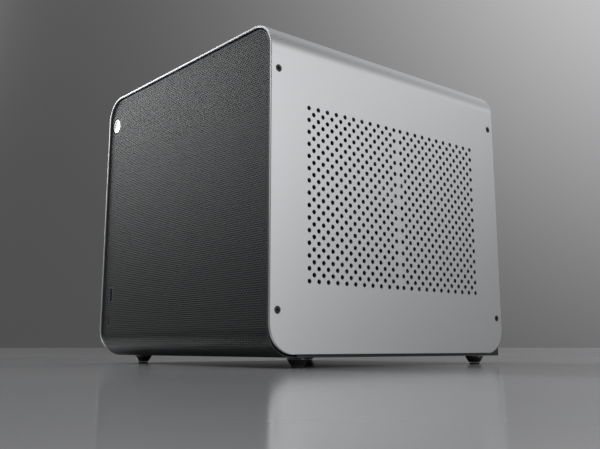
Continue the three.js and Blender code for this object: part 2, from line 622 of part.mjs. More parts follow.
/** The cooler: a shroud block with a round fan well and end vents. */
function cardCooler() {
  const body = block([CARD.left, CARD.front, CARD.low], [CARD.right, CARD.rear, CARD.high]);
  const well = rod("x", CARD_FAN.bore, CARD.left - 1, CARD.left + CARD_FAN.depth + 2, CARD_FAN_AT, 24);
  const vents = [0, 1, 2, 3, 4].map((i) => {
    const z = CARD.low + 10 + i * 16;
    return block([CARD.left + 6, CARD.rear - 14, z], [CARD.right - 4, CARD.rear + 1, z + 9]);
  });
  return cut(body, [well, ...vents]);
}

/** The two-slot bracket, with its upper tab folded out over the shelf. */
function cardBracket() {
  const inside = REAR_PANEL_Y - STEEL - GAP;
  const plate = block([SLOT_X - 31.5, inside - STEEL, 110.9], [SLOT_X + 6.5, inside, 221.2]);
  const tab = block([SLOT_X - 31.5, inside - STEEL, 220], [SLOT_X + 6.5, REAR_PANEL_Y + 3.4, 221.2]);
  const ports = [130, 150, 170].map((z) => block([SLOT_X - 11, 130, z], [SLOT_X - 4, 140, z + 15]));
  const vents = [120, 140, 160, 180, 200].map((z) =>
    block([SLOT_X - 28, 130, z], [SLOT_X - 17, 140, z + 10]),
  );
  return cut(plate.add(tab), [...ports, ...vents]);
}

piece("graphics_board", cardBoard(), FINISH.board);
piece("graphics_cooler", cardCooler(), FINISH.greyPlastic);
piece("graphics_bracket", cardBracket(), FINISH.zinc);
const cardFanSeat = placed([CARD.left + CARD_FAN.depth, ...CARD_FAN_AT], [0, -Math.PI / 2, 0]);
piece("graphics_fan_rotor", fanRotor(CARD_FAN), FINISH.blackPlastic, cardFanSeat);

// ---------- power supply ----------
const INLET = { x: 8, z: 76, width: 27, height: 20 };
const ROCKER = { x: 8, z: 46, width: 13, height: 19, tilt: 0.16 };
const PSU_LOW = [PSU.x, PSU.rear - PSU.depth, PSU.z];
const PSU_HIGH = [PSU.x + PSU.width, PSU.rear, PSU.z + PSU.height];

/** The steel box, with air slots under its fan and openings for the inlet and the switch. */
function psuCase() {
  const wall = PSU.sheet;
  const shell = block(PSU_LOW, PSU_HIGH).subtract(
    block(
      PSU_LOW.map((value) => value + wall),
      PSU_HIGH.map((value) => value - wall),
    ),
  );
  const opening = ({ x, z }, w, h) => block([x - w, 130, z - h], [x + w, 139, z + h]);
  const inletHole = opening(INLET, INLET.width / 2 + 0.4, INLET.height / 2 + 0.4);
  const rockerHole = opening(ROCKER, ROCKER.width / 2 + 0.5, ROCKER.height / 2 + 0.6);
  return cut(shell, [...airSlots(4.5, PSU.z - 1, PSU.z + wall + 1), inletHole, rockerHole]);
}

/** The circuit board under the lid, with its transformer, capacitor and cooling plates. */
function psuCircuit() {
  const top = PSU.z + PSU.height - PSU.sheet - 3;
  const plate = block([PSU.x + 6, 4, top - 1.6], [PSU.x + PSU.width - 6, 112, top]);
  const coil = block([40, 45, top - 34], [74, 76, top - 1]);
  const plates = [22, 92].map((x) => block([x, 20, top - 36], [x + 4, 100, top - 1]));
  const capacitor = rod("z", 11, top - 32, top - 1, [2, 40], 12);
  return union([plate, coil, ...plates, capacitor]);
}

/** The mains inlet: a flanged well with three flat pins. */
function psuInlet() {
  const { x, z, width, height } = INLET;
  const [w, h] = [width / 2, height / 2];
  const body = block([x - w, 120, z - h], [x + w, 139, z + h]);
  const flange = block([x - w - 2, PSU.rear + GAP, z - h - 2], [x + w + 2, PSU.rear + 2.2, z + h + 2]);
  const well = block([x - w + 1.8, 124, z - h + 1.8], [x + w - 1.8, 150, z + h - 1.8]);
  const pins = [-7, 0, 7].map((u) => {
    const lift = u === 0 ? 2.5 : -2;
    return block([x + u - 1, 123, z + lift - 2], [x + u + 1, 137, z + lift + 2]);
  });
  return union([body.add(flange).subtract(well), ...pins]);
}

/** A rocker key with a shallow V face, around its own pivot. */
function rockerKey() {
  const half = ROCKER.height / 2;
  const outline = outlineOf([
    [-6, -half],
    [2.4, -half],
    [1.1, 0],
    [2.4, half],
    [-6, half],
  ]);
  return prism("x", outline, -ROCKER.width / 2, ROCKER.width / 2);
}

piece("psu_case", psuCase(), FINISH.blackSheet);
piece("psu_circuit", psuCircuit(), FINISH.board);
fan("psu_fan", PSU_FAN, placed([...PSU_MIDDLE, PSU.z + PSU.sheet + GAP]));
piece("psu_inlet", psuInlet(), FINISH.blackPlastic);
const rockerSeat = placed([ROCKER.x, PSU.rear + 1.4, ROCKER.z], [ROCKER.tilt, 0, 0]);
piece("psu_rocker", rockerKey(), FINISH.blackPlastic, rockerSeat);

// ---------- drives ----------
piece("hard_drive", block([-128, -12, FLOOR_TOP + GAP], [-26.4, 135, FLOOR_TOP + GAP + 26.1]), FINISH.zinc);
piece("solid_state_drive", block([-133, -114, 29], [-126, -14, 98.8]), FINISH.blackPlastic);

// ---------- internal leads ----------
/** A lead of round section along a smooth path through points. */
function lead(points, radius, steps) {
  const path = new THREE.CatmullRomCurve3(points.map((p) => new THREE.Vector3(...p)), false, "centripetal");
  const section = new THREE.Shape();
  section.absarc(0, 0, radius, 0, 2 * Math.PI);
  return solid(new THREE.ExtrudeGeometry(section, { steps, extrudePath: path, curveSegments: 4 }));
}

const psuFront = PSU_LOW[1] - GAP;
const BOARD_POWER = [
  [104, psuFront, 62],
  [104, psuFront - 14, 62],
  [104, -34, 74],
  [104, -38, 100],
  [100, -34, 126],
  [88, -18, 144],
  [74, -4, 143],
  [68.5, 2, 134],
  [68.5, 2, 123.4],
];
const GRAPHICS_POWER = [
  [30, psuFront, 62],
  [28, psuFront - 16, 62],
  [10, -52, 66],
  [-24, -78, 88],
  [-60, -86, 130],
  [-92, -74, 178],
  [-104, -54, 200],
  [-106, -36, 205],
  [-106, CARD.front - GAP, 205],
];
const boardBack = PANEL_FACE + 0.1 + SOCKET_DEPTH + GAP + 1.6 + GAP;
const FRONT_USB = [
  [-119, boardBack, 58],
  [-118, boardBack + 12, 58],
  [-112, -92, 72],
  [-102, -74, 104],
  [-94, -54, 126],
  [-89, -36, 134],
  [-89, -27.5, 130],
  [-89, -27.5, 119.4],
];
const BUTTON_LEAD = [
  [BUTTON.x, -117.6, BUTTON.z],
  [BUTTON.x, -104, 244],
  [-124, -90, 226],
  [-116, -74, 180],
  [-96, -60, 150],
  [-79, -44, 136],
  [-74, -30.5, 130],
  [-74, -30.5, 117.4],
];

piece("board_power_lead", lead(BOARD_POWER, 4, 22), FINISH.blackPlastic);
piece("graphics_power_lead", lead(GRAPHICS_POWER, 3.2, 26), FINISH.blackPlastic);
piece("front_usb_lead", lead(FRONT_USB, 2.2, 22), FINISH.blackPlastic);
piece("power_button_lead", lead(BUTTON_LEAD, 1.4, 24), FINISH.blackPlastic);

export default tower;
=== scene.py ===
"""A compact desktop computer tower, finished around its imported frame.

Lengths in the classes are millimetres, +Z is up and the front faces -Y, as in the frame.
"""

import logging
import math
from collections.abc import Sequence
from dataclasses import dataclass
from enum import Enum

import bmesh
import bpy
import numpy as np
from mathutils import Matrix, Vector, geometry


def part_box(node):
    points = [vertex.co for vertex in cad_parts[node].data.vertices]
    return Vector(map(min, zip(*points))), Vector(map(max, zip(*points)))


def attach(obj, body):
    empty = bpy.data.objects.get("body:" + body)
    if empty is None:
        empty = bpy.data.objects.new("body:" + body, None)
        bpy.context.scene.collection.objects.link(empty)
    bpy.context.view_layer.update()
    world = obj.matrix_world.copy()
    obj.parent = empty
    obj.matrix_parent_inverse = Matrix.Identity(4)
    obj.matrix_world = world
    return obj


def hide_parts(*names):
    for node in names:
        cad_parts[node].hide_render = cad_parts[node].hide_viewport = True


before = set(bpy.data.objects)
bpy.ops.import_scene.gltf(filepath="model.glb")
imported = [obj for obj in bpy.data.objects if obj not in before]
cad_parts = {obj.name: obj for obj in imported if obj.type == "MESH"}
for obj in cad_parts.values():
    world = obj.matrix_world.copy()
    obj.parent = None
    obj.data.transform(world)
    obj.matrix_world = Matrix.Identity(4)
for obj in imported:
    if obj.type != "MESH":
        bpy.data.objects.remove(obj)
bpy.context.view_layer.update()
LOG = logging.getLogger("tower")
MM = 0.001
TAU = 2 * math.pi
# The outer faces of the rear panel and of the chassis's front wall, along Y in millimetres.
REAR_FACE = 139.0
FRONT_WALL = -131.0

Point = tuple[float, float]
Point3 = tuple[float, float, float]
Loop = list[Point]


class Axis(Enum):
    """The direction a plate's thickness, a lathe's spindle or a bar's length runs in."""

    X = 0
    Y = 1
    Z = 2

    def place(self, flat: np.ndarray, along: float | np.ndarray) -> np.ndarray:
        """Put flat points into space.

        Args:
            flat: Points (u, v): Y and Z for X, X and Z for Y, X and Y for Z.
            along: The coordinate on this axis.

        Returns:
            Points in space, one row each.
        """
        return np.insert(np.asarray(flat, float), self.value, along, axis=1)


# ---------- outlines and solids ----------
def circle(centre: Point, radius: float, count: int = 24) -> Loop:
    """Points round a circle, anticlockwise."""
    turns = [TAU * i / count for i in range(count)]
    return [(centre[0] + radius * math.cos(a), centre[1] + radius * math.sin(a)) for a in turns]


def rectangle(
    left: float,
    right: float,
    low: float,
    high: float,
    radius: float | Sequence[float] = 0.0,
    steps: int = 4,
) -> Loop:
    """A rectangle whose corners may be rounded.

    Args:
        left: Lowest u.
        right: Highest u.
        low: Lowest v.
        high: Highest v.
        radius: One radius, or one each for the lower left, lower right, upper right and upper left corner.
        steps: Segments in each rounded corner.

    Returns:
        The outline, anticlockwise.
    """
    radii = [float(radius)] * 4 if isinstance(radius, (int, float)) else [float(r) for r in radius]
    corners = [(left, low, 1, 1), (right, low, -1, 1), (right, high, -1, -1), (left, high, 1, -1)]
    points: Loop = []
    for i, ((u, v, su, sv), r) in enumerate(zip(corners, radii)):
        if r <= 0:
            points.append((u, v))
            continue
        start = math.pi + i * math.pi / 2
        for k in range(steps + 1):
            a = start + k * math.pi / 2 / steps
            points.append((u + su * r + r * math.cos(a), v + sv * r + r * math.sin(a)))
    return points


def quarter(steps: int) -> list[Point]:
    """The cosines and sines of a quarter turn, from pointing left to pointing up."""
    turns = [math.pi - k * math.pi / 2 / steps for k in range(steps + 1)]
    return [(math.cos(a), math.sin(a)) for a in turns]


def four_corners(centre: Point, reach: float) -> list[Point]:
    """The corners of a square round a centre."""
    return [(centre[0] + su * reach, centre[1] + sv * reach) for su in (-1, 1) for sv in (-1, 1)]


def inside(points: np.ndarray, loops: Sequence[Loop]) -> np.ndarray:
    """Tell which points lie inside an odd number of outlines."""
    result = np.zeros(len(points), bool)
    for loop in loops:
        start = np.asarray(loop, float)
        end = np.roll(start, -1, axis=0)
        u, v = points[:, 0, None], points[:, 1, None]
        crosses = (start[:, 1] > v) != (end[:, 1] > v)
        rise = np.where(end[:, 1] == start[:, 1], 1.0, end[:, 1] - start[:, 1])
        at = start[:, 0] + (v - start[:, 1]) * (end[:, 0] - start[:, 0]) / rise
        result ^= (crosses & (u < at)).sum(1) % 2 == 1
    return result


def add_loop(loop: Loop, points: list[Vector], edges: list[tuple[int, int]]) -> None:
    """Add a closed outline to points and to the edges between them."""
    base = len(points)
    points.extend(Vector(p) for p in loop)
    edges.extend((base + i, base + (i + 1) % len(loop)) for i in range(len(loop)))


def fill(
    points: list[Vector], edges: list[tuple[int, int]], merge: float
) -> tuple[np.ndarray, np.ndarray]:
    """Fill a plane figure with triangles that follow its edges.

    Args:
        points: Its corners.
        edges: Pairs of corner numbers.
        merge: How close two corners are to count as one.

    Returns:
        The corners, and the triangles as rows of corner numbers.
    """
    made = geometry.delaunay_2d_cdt(points, edges, [], 0, merge)
    return np.array([tuple(p) for p in made[0]], float), np.array(made[2], int)


def triangulate(loops: Sequence[Loop]) -> tuple[np.ndarray, np.ndarray]:
    """Fill outlines with triangles; what lies inside an even number of them stays open."""
    points: list[Vector] = []
    edges: list[tuple[int, int]] = []
    for loop in loops:
        add_loop(loop, points, edges)
    corners, triangles = fill(points, edges, 1e-5)
    return corners, triangles[inside(corners[triangles].mean(1), loops)]


def rim_edges(faces: np.ndarray) -> np.ndarray:
    """The directed edges that only one face uses."""
    pairs = np.concatenate(
        [np.stack([faces[:, i], np.roll(faces, -1, 1)[:, i]], 1) for i in range(faces.shape[1])]
    )
    keys = np.sort(pairs, 1)
    _, back, count = np.unique(keys, axis=0, return_inverse=True, return_counts=True)
    return pairs[count[back.ravel()] == 1]


class Former:
    """Collects closed shells in millimetres and turns them into one piece."""

    def __init__(self) -> None:
        """Start with nothing."""
        self.points: list[np.ndarray] = []
        self.faces: list[tuple[int, ...]] = []
        self.slots: list[int] = []
        self.count = 0

    def shell(self, points: np.ndarray, faces: Sequence[Sequence[int]], slot: int = 0) -> "Former":
        """Add one closed shell, turned so that its faces point outwards.

        Args:
            points: Its corners.
            faces: Its faces, all wound the same way.
            slot: Which of the piece's finishes it has.

        Returns:
            This former.
        """
        points = np.asarray(points, float)
        volume = 0.0
        for face in faces:
            a = points[face[0]]
            for b, c in zip(face[1:-1], face[2:]):
                volume += float(a @ np.cross(points[b], points[c]))
        step = 1 if volume >= 0 else -1
        self.faces += [tuple(int(i) + self.count for i in face[::step]) for face in faces]
        self.slots += [slot] * len(faces)
        self.points.append(points)
        self.count += len(points)
        return self

    def block(
        self, low: Sequence[float], high: Sequence[float], chamfer: float = 0.3, slot: int = 0
    ) -> "Former":
        """Add a box with a small chamfer on every edge."""
        low, high = np.minimum(low, high).astype(float), np.maximum(low, high).astype(float)
        middle, half = (low + high) / 2, (high - low) / 2
        chamfer = min(chamfer, 0.45 * float((high - low).min()))
        number: dict[tuple[int, ...], int] = {}
        points: list[np.ndarray] = []
        for signs in np.ndindex(2, 2, 2):
            sign = np.array(signs) * 2 - 1
            for k in range(3):
                inset = np.full(3, chamfer)
                inset[k] = 0
                number[(*signs, k)] = len(points)
                points.append(middle + sign * (half - inset))
        faces: list[list[int]] = []
        for k in range(3):
            a, b = [i for i in range(3) if i != k]
            for s in (0, 1):
                ring = []
                for pa, pb in ((0, 0), (1, 0), (1, 1), (0, 1)):
                    signs = [0, 0, 0]
                    signs[k], signs[a], signs[b] = s, pa, pb
                    ring.append(number[(*signs, k)])
                faces.append(ring)
            for sa in (0, 1):
                for sb in (0, 1):
                    ends = []
                    for m in (0, 1):
                        signs = [0, 0, 0]
                        signs[a], signs[b], signs[k] = sa, sb, m
                        ends.append(tuple(signs))
                    order = ((0, a), (1, a), (1, b), (0, b))
                    faces.append([number[(*ends[end], side)] for end, side in order])
        faces += [[number[(*signs, k)] for k in range(3)] for signs in np.ndindex(2, 2, 2)]
        corners = np.array(points)
        for face in faces:
            p = corners[face]
            if np.cross(p[1] - p[0], p[2] - p[0]) @ (p.mean(0) - middle) < 0:
                face.reverse()
        return self.shell(corners, faces, slot)

    def plate(self, axis: Axis, loops: Sequence[Loop], near: float, far: float, slot: int = 0) -> "Former":
        """Add a flat plate with openings.

        Args:
            axis: The direction of its thickness.
            loops: Its outline and its openings.
            near: Where it starts on that axis.
            far: Where it ends.
            slot: Which finish it has.

        Returns:
            This former.
        """
        corners, triangles = triangulate(loops)
        n = len(corners)
        rims = rim_edges(triangles)
        points = np.concatenate([axis.place(corners, near), axis.place(corners, far)])
        faces = [*triangles[:, ::-1].tolist(), *(triangles + n).tolist()]
        faces += [[b + n, a + n, a, b] for a, b in rims.tolist()]
        return self.shell(points, faces, slot)

    def lathe(
        self,
        axis: Axis,
        centre: Point,
        profile: Sequence[Point],
        count: int = 24,
        slot: int = 0,
        ring: bool = False,
    ) -> "Former":
        """Turn a profile round an axis.

        Args:
            axis: The spindle's direction.
            centre: Where the spindle is, as (u, v).
            profile: Points (radius, place along the axis); a solid one starts and ends at radius 0.
            count: Segments round the turn.
            slot: Which finish it has.
            ring: True where the profile closes on itself, as a washer's does.

        Returns:
            This former.
        """
        rows: list[list[int]] = []
        points: list[np.ndarray] = []
        total = 0
        for radius, along in profile:
            if radius <= 1e-6:
                points.append(axis.place(np.array([centre]), along))
                rows.append([total] * count)
                total += 1
            else:
                points.append(axis.place(np.array(circle(centre, radius, count)), along))
                rows.append(list(range(total, total + count)))
                total += count
        faces: list[list[int]] = []
        pairs = list(zip(rows, rows[1:])) + ([(rows[-1], rows[0])] if ring else [])
        for lower, upper in pairs:
            for i in range(count):
                j = (i + 1) % count
                face = [lower[i], lower[j], upper[j], upper[i]]
                kept = [p for k, p in enumerate(face) if p != face[k - 1]]
                if len(kept) > 2:
                    faces.append(kept)
        if not ring:
            for row in (rows[0], rows[-1]):
                if row[0] != row[-1]:
                    faces.append(row[::-1] if row is rows[0] else row)
        return self.shell(np.concatenate(points), faces, slot)

    def tube(self, path: Sequence[Point3], radius: float, sides: int = 10, slot: int = 0) -> "Former":
        """Sweep a round section along points, with flat ends."""
        line = np.asarray(path, float)
        ahead = np.gradient(line, axis=0)
        ahead /= np.linalg.norm(ahead, axis=1)[:, None]
        side = np.cross(ahead[0], [0.31, 0.27, 0.91])
        rings: list[np.ndarray] = []
        for at, direction in zip(line, ahead):
            side = side - direction * (side @ direction)
            side /= np.linalg.norm(side)
            other = np.cross(direction, side)
            turn = np.linspace(0, TAU, sides, endpoint=False)[:, None]
            rings.append(at + radius * (np.cos(turn) * side + np.sin(turn) * other))
        return self.loft(rings, slot)

    def loft(self, rings: Sequence[np.ndarray], slot: int = 0) -> "Former":
        """Join a row of closed rings and cap both ends.

        Args:
            rings: The rings, with the same number of points in each.
            slot: Which finish it has.

        Returns:
            This former.
        """
        n = len(rings[0])
        faces = [
            [r * n + i, r * n + (i + 1) % n, (r + 1) * n + (i + 1) % n, (r + 1) * n + i]
            for r in range(len(rings) - 1)
            for i in range(n)
        ]
        last = (len(rings) - 1) * n
        faces += [list(range(n))[::-1], [last + i for i in range(n)]]
        return self.shell(np.concatenate(rings), faces, slot)

    def prism(self, axis: Axis, outline: Loop, near: float, far: float, slot: int = 0) -> "Former":
        """Draw a simple outline out along an axis."""
        n = len(outline)
        flat = np.array(outline)
        points = np.concatenate([axis.place(flat, near), axis.place(flat, far)])
        faces = [list(range(n))[::-1], [i + n for i in range(n)]]
        faces += [[i, (i + 1) % n, (i + 1) % n + n, i + n] for i in range(n)]
        return self.shell(points, faces, slot)

    def moved(self, matrix: Matrix) -> "Former":
        """Turn and shift everything collected so far, with the shift in millimetres."""
        turn = np.array(matrix.to_3x3())
        shift = np.array(matrix.translation)
        self.points = [p @ turn.T + shift for p in self.points]
        return self

    def mesh(self, name: str) -> bpy.types.Mesh:
        """Make a mesh of what has been collected, in metres."""
        made = bpy.data.meshes.new(name)
        made.from_pydata((np.concatenate(self.points) * MM).tolist(), [], self.faces)
        made.polygons.foreach_set("material_index", np.array(self.slots, np.int32))
        made.update()
        return made


@dataclass(frozen=True)
class Riding:
    """What a finished piece hangs on in the frame."""

    body: str
    replaces: tuple[str, ...] = ()
    slot: str | None = None


def span(node: str) -> tuple[np.ndarray, np.ndarray]:
    """A frame node's lowest and highest corner in millimetres."""
    low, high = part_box(node)
    return np.array(low) / MM, np.array(high) / MM


def middle(node: str) -> np.ndarray:
    """The middle of a frame node's box in millimetres."""
    low, high = span(node)
    return (low + high) / 2


def hang(
    name: str, mesh: bpy.types.Mesh, finishes: Sequence["Finish"], riding: Riding, crease: float = 32.0
) -> bpy.types.Object:
    """Make a piece of a mesh and tie it to its body.

    Args:
        name: The piece's name.
        mesh: Its mesh, in metres and in place.
        finishes: One finish for each of its material slots.
        riding: Its body and the nodes it stands for; its slot is not used.
        crease: The angle in degrees past which an edge is sharp.

    Returns:
        The finished object.
    """
    mesh.name = name
    if len(mesh.materials):
        keep = np.zeros(len(mesh.polygons), np.int32)
        mesh.polygons.foreach_get("material_index", keep)
        mesh.materials.clear()
        mesh.polygons.foreach_set("material_index", np.minimum(keep, len(finishes) - 1))
    for finish in finishes:
        mesh.materials.append(finish.material())
    mesh.polygons.foreach_set("use_smooth", np.ones(len(mesh.polygons), bool))
    mesh.set_sharp_from_angle(angle=math.radians(crease))
    piece = bpy.data.objects.new(name, mesh)
    bpy.context.scene.collection.objects.link(piece)
    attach(piece, riding.body)
    if riding.replaces:
        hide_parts(*riding.replaces)
    LOG.info("%s: %d faces on %s", name, len(mesh.polygons), riding.body)
    return piece


# ---------- nodes ----------
class Wiring:
    """A node tree and short ways to add to it."""

    def __init__(self, tree: bpy.types.NodeTree) -> None:
        """Hold the tree."""
        self.tree = tree

    def node(self, kind: str, links: dict[str | int, object], **options: object) -> bpy.types.Node:
        """Add a node.

        Args:
            kind: Its type, without the part that all geometry nodes share.
            links: For each input, a socket to link or a value to set.
            options: Its own settings.

        Returns:
            The node.
        """
        made = self.tree.nodes.new(kind if kind.startswith("ShaderNode") else f"GeometryNode{kind}")
        for key, value in options.items():
            setattr(made, key, value)
        for key, value in links.items():
            if isinstance(value, bpy.types.NodeSocket):
                self.tree.links.new(value, made.inputs[key])
            else:
                made.inputs[key].default_value = value
        return made

    def math(self, operation: str, a: object, b: object = 0.0) -> bpy.types.NodeSocket:
        """One sum on two values."""
        return self.node("ShaderNodeMath", {0: a, 1: b}, operation=operation).outputs[0]


# ---------- finishes ----------
class Surface(Wiring):
    """One material while its nodes are being wired."""

    def __init__(self, name: str) -> None:
        """Start with a bare shader on an output."""
        self.made = bpy.data.materials.new(name)
        self.made.use_nodes = True
        super().__init__(self.made.node_tree)
        self.tree.nodes.clear()
        self.shader = self.tree.nodes.new("ShaderNodeBsdfPrincipled")
        output = self.tree.nodes.new("ShaderNodeOutputMaterial")
        self.tree.links.new(self.shader.outputs["BSDF"], output.inputs["Surface"])
        self.object_place = self.tree.nodes.new("ShaderNodeTexCoord").outputs["Object"]

    def stretched(self, scale: Point3, turn: Point3 = (0.0, 0.0, 0.0)) -> bpy.types.NodeSocket:
        """Object coordinates scaled and turned for a pattern."""
        links = {"Vector": self.object_place, "Scale": scale, "Rotation": turn}
        return self.node("ShaderNodeMapping", links).outputs["Vector"]

    def noise(
        self, scale: float, detail: float = 2.0, where: bpy.types.NodeSocket | None = None
    ) -> bpy.types.NodeSocket:
        """A noise value, with the scale in cycles to the metre."""
        links = {"Vector": where or self.object_place, "Scale": scale, "Detail": detail}
        return self.node("ShaderNodeTexNoise", links).outputs[0]

    def spread(
        self, value: bpy.types.NodeSocket, low: float, high: float, start: float = 0.3, end: float = 0.7
    ) -> bpy.types.NodeSocket:
        """Map a value's middle range onto new limits."""
        links = {0: value, 1: start, 2: end, 3: low, 4: high}
        return self.node("ShaderNodeMapRange", links).outputs[0]

    def tint(self, value: bpy.types.NodeSocket, dark: Point3, light: Point3) -> bpy.types.NodeSocket:
        """A colour between two by a value."""
        links = {0: value, 6: (*dark, 1.0), 7: (*light, 1.0)}
        return self.node("ShaderNodeMix", links, data_type="RGBA").outputs[2]

    def mottled(self, value: bpy.types.NodeSocket, colour: Point3, amount: float) -> bpy.types.NodeSocket:
        """A colour that a value lightens and darkens a little."""
        return self.tint(self.spread(value, 0.0, 1.0), *shades(colour, amount))

    def uneven(
        self,
        base: float,
        broad: bpy.types.NodeSocket,
        drift: Point,
        fine: bpy.types.NodeSocket,
        scatter: Point,
    ) -> bpy.types.NodeSocket:
        """A roughness that one value shifts and a finer one scatters.

        Args:
            base: The roughness they vary.
            broad: The slow value.
            drift: What the slow value adds, from and to.
            fine: The quick value.
            scatter: What the quick value adds, from and to.

        Returns:
            The roughness.
        """
        spread = self.spread(fine, base + scatter[0], base + scatter[1])
        return self.math("ADD", self.spread(broad, *drift), spread)

    def wave(
        self, scale: float, along: str = "X", where: bpy.types.NodeSocket | None = None
    ) -> bpy.types.NodeSocket:
        """Even bands across one direction."""
        links = {"Vector": where or self.object_place, "Scale": scale}
        return self.node("ShaderNodeTexWave", links, bands_direction=along).outputs[1]

    def relief(
        self, height: bpy.types.NodeSocket, strength: float, depth: float,
        below: bpy.types.NodeSocket | None = None,
    ) -> bpy.types.NodeSocket:
        """Turn a height into a normal, with its depth in millimetres."""
        links: dict[str | int, object] = {"Height": height, "Strength": strength, "Distance": depth * MM}
        if below is not None:
            links["Normal"] = below
        return self.node("ShaderNodeBump", links).outputs[0]

    def set(self, **values: object) -> bpy.types.Material:
        """Set or link the shader's inputs, named with _ for a space.

        Args:
            values: A socket or a value for each input.

        Returns:
            The finished material.
        """
        for key, value in values.items():
            target = self.shader.inputs[key.replace("_", " ")]
            if isinstance(value, bpy.types.NodeSocket):
                self.tree.links.new(value, target)
            elif isinstance(value, tuple):
                target.default_value = (*value, 1.0)
            else:
                target.default_value = value
        return self.made


def shades(colour: Point3, spread: float) -> tuple[Point3, Point3]:
    """A darker and a lighter neighbour of a colour."""
    dark, light = [tuple(min(1.0, c * k) for c in colour) for k in (1 - spread, 1 + spread)]
    return dark, light


@dataclass(frozen=True)
class Finish:
    """A finish that is wired once and then shared."""

    name: str

    def wire(self) -> bpy.types.Material:
        """Build the material."""
        raise NotImplementedError

    def material(self) -> bpy.types.Material:
        """The material, built at its first use."""
        return bpy.data.materials.get(self.name) or self.wire()


@dataclass(frozen=True)
class BlastedMetal(Finish):
    """Bead-blasted and anodised aluminium: a very fine even grain with a soft shine."""

    colour: Point3 = (0.55, 0.555, 0.572)
    grain: float = 2600.0
    roughness: float = 0.3
    depth: float = 0.012

    def wire(self) -> bpy.types.Material:
        """Build the material."""
        s = Surface(self.name)
        grain = s.noise(self.grain, 3.0)
        cloud = s.noise(14.0, 3.0)
        mixed = s.math("ADD", s.math("MULTIPLY", grain, 0.7), s.math("MULTIPLY", cloud, 0.3))
        colour = s.tint(mixed, *shades(self.colour, 0.07))
        roughness = s.uneven(self.roughness, cloud, (-0.02, 0.02), grain, (-0.03, 0.03))
        normal = s.relief(grain, 0.35, self.depth)
        return s.set(Base_Color=colour, Metallic=1.0, Roughness=roughness, Normal=normal)


@dataclass(frozen=True)
class PowderCoat(Finish):
    """Baked paint on sheet metal: fine orange peel under a satin film."""

    colour: Point3 = (0.018, 0.019, 0.021)
    roughness: float = 0.42
    peel: float = 900.0
    depth: float = 0.03
    metallic: float = 0.0

    def wire(self) -> bpy.types.Material:
        """Build the material."""
        s = Surface(self.name)
        peel = s.noise(self.peel, 2.0)
        dust = s.noise(46.0, 5.0)
        colour = s.mottled(dust, self.colour, 0.16)
        roughness = s.uneven(self.roughness, dust, (-0.04, 0.05), peel, (-0.03, 0.03))
        normal = s.relief(peel, 0.3, self.depth)
        return s.set(
            Base_Color=colour, Metallic=self.metallic, Roughness=roughness, Normal=normal,
            Specular_IOR_Level=0.5,
        )


@dataclass(frozen=True)
class MouldedPlastic(Finish):
    """Injection-moulded plastic with an eroded texture and faint flow marks."""

    colour: Point3 = (0.016, 0.017, 0.018)
    roughness: float = 0.48
    texture: float = 1700.0
    depth: float = 0.03
    coat: float = 0.0

    def wire(self) -> bpy.types.Material:
        """Build the material."""
        s = Surface(self.name)
        fine = s.noise(self.texture, 2.0)
        flow = s.noise(1.0, 3.0, s.stretched((18.0, 60.0, 30.0)))
        colour = s.mottled(flow, self.colour, 0.12)
        roughness = s.uneven(self.roughness, flow, (-0.03, 0.03), fine, (-0.05, 0.05))
        normal = s.relief(fine, 0.25, self.depth)
        return s.set(
            Base_Color=colour, Roughness=roughness, Normal=normal, Coat_Weight=self.coat,
            Coat_Roughness=0.12,
        )


@dataclass(frozen=True)
class PolishedMetal(Finish):
    """Plated or turned metal: bright, with fine turning marks and faint smears."""

    colour: Point3 = (0.78, 0.78, 0.79)
    roughness: float = 0.16
    marks: Point3 = (300.0, 300.0, 5200.0)

    def wire(self) -> bpy.types.Material:
        """Build the material."""
        s = Surface(self.name)
        marks = s.noise(1.0, 2.0, s.stretched(self.marks))
        smear = s.noise(90.0, 4.0)
        colour = s.mottled(smear, self.colour, 0.05)
        roughness = s.uneven(self.roughness, smear, (-0.03, 0.06), marks, (-0.03, 0.04))
        return s.set(
            Base_Color=colour, Metallic=1.0, Roughness=roughness, Normal=s.relief(marks, 0.12, 0.01)
        )


@dataclass(frozen=True)
class BrushedMetal(Finish):
    """Rolled sheet or extruded metal with long streaks, and spangle where it is zinc-coated."""

    colour: Point3 = (0.58, 0.6, 0.61)
    roughness: float = 0.3
    streaks: Point3 = (30.0, 2200.0, 2200.0)
    spangle: float = 0.0

    def wire(self) -> bpy.types.Material:
        """Build the material."""
        s = Surface(self.name)
        streak = s.noise(1.0, 3.0, s.stretched(self.streaks))
        cells = s.node("ShaderNodeTexVoronoi", {"Vector": s.object_place, "Scale": 160.0}).outputs["Color"]
        tone = s.math(
            "ADD", s.math("MULTIPLY", streak, 1.0 - self.spangle), s.math("MULTIPLY", cells, self.spangle)
        )
        colour = s.mottled(tone, self.colour, 0.1)
        roughness = s.spread(tone, self.roughness - 0.05, self.roughness + 0.09)
        return s.set(
            Base_Color=colour, Metallic=1.0, Roughness=roughness, Normal=s.relief(streak, 0.16, 0.012)
        )


@dataclass(frozen=True)
class RubberCompound(Finish):
    """Matt rubber with a dry bloom."""

    colour: Point3 = (0.02, 0.02, 0.02)

    def wire(self) -> bpy.types.Material:
        """Build the material."""
        s = Surface(self.name)
        bloom = s.noise(240.0, 5.0)
        grain = s.noise(1500.0, 2.0)
        colour = s.mottled(bloom, self.colour, 0.3)
        return s.set(
            Base_Color=colour, Roughness=s.spread(bloom, 0.72, 0.9), Normal=s.relief(grain, 0.3, 0.05)
        )


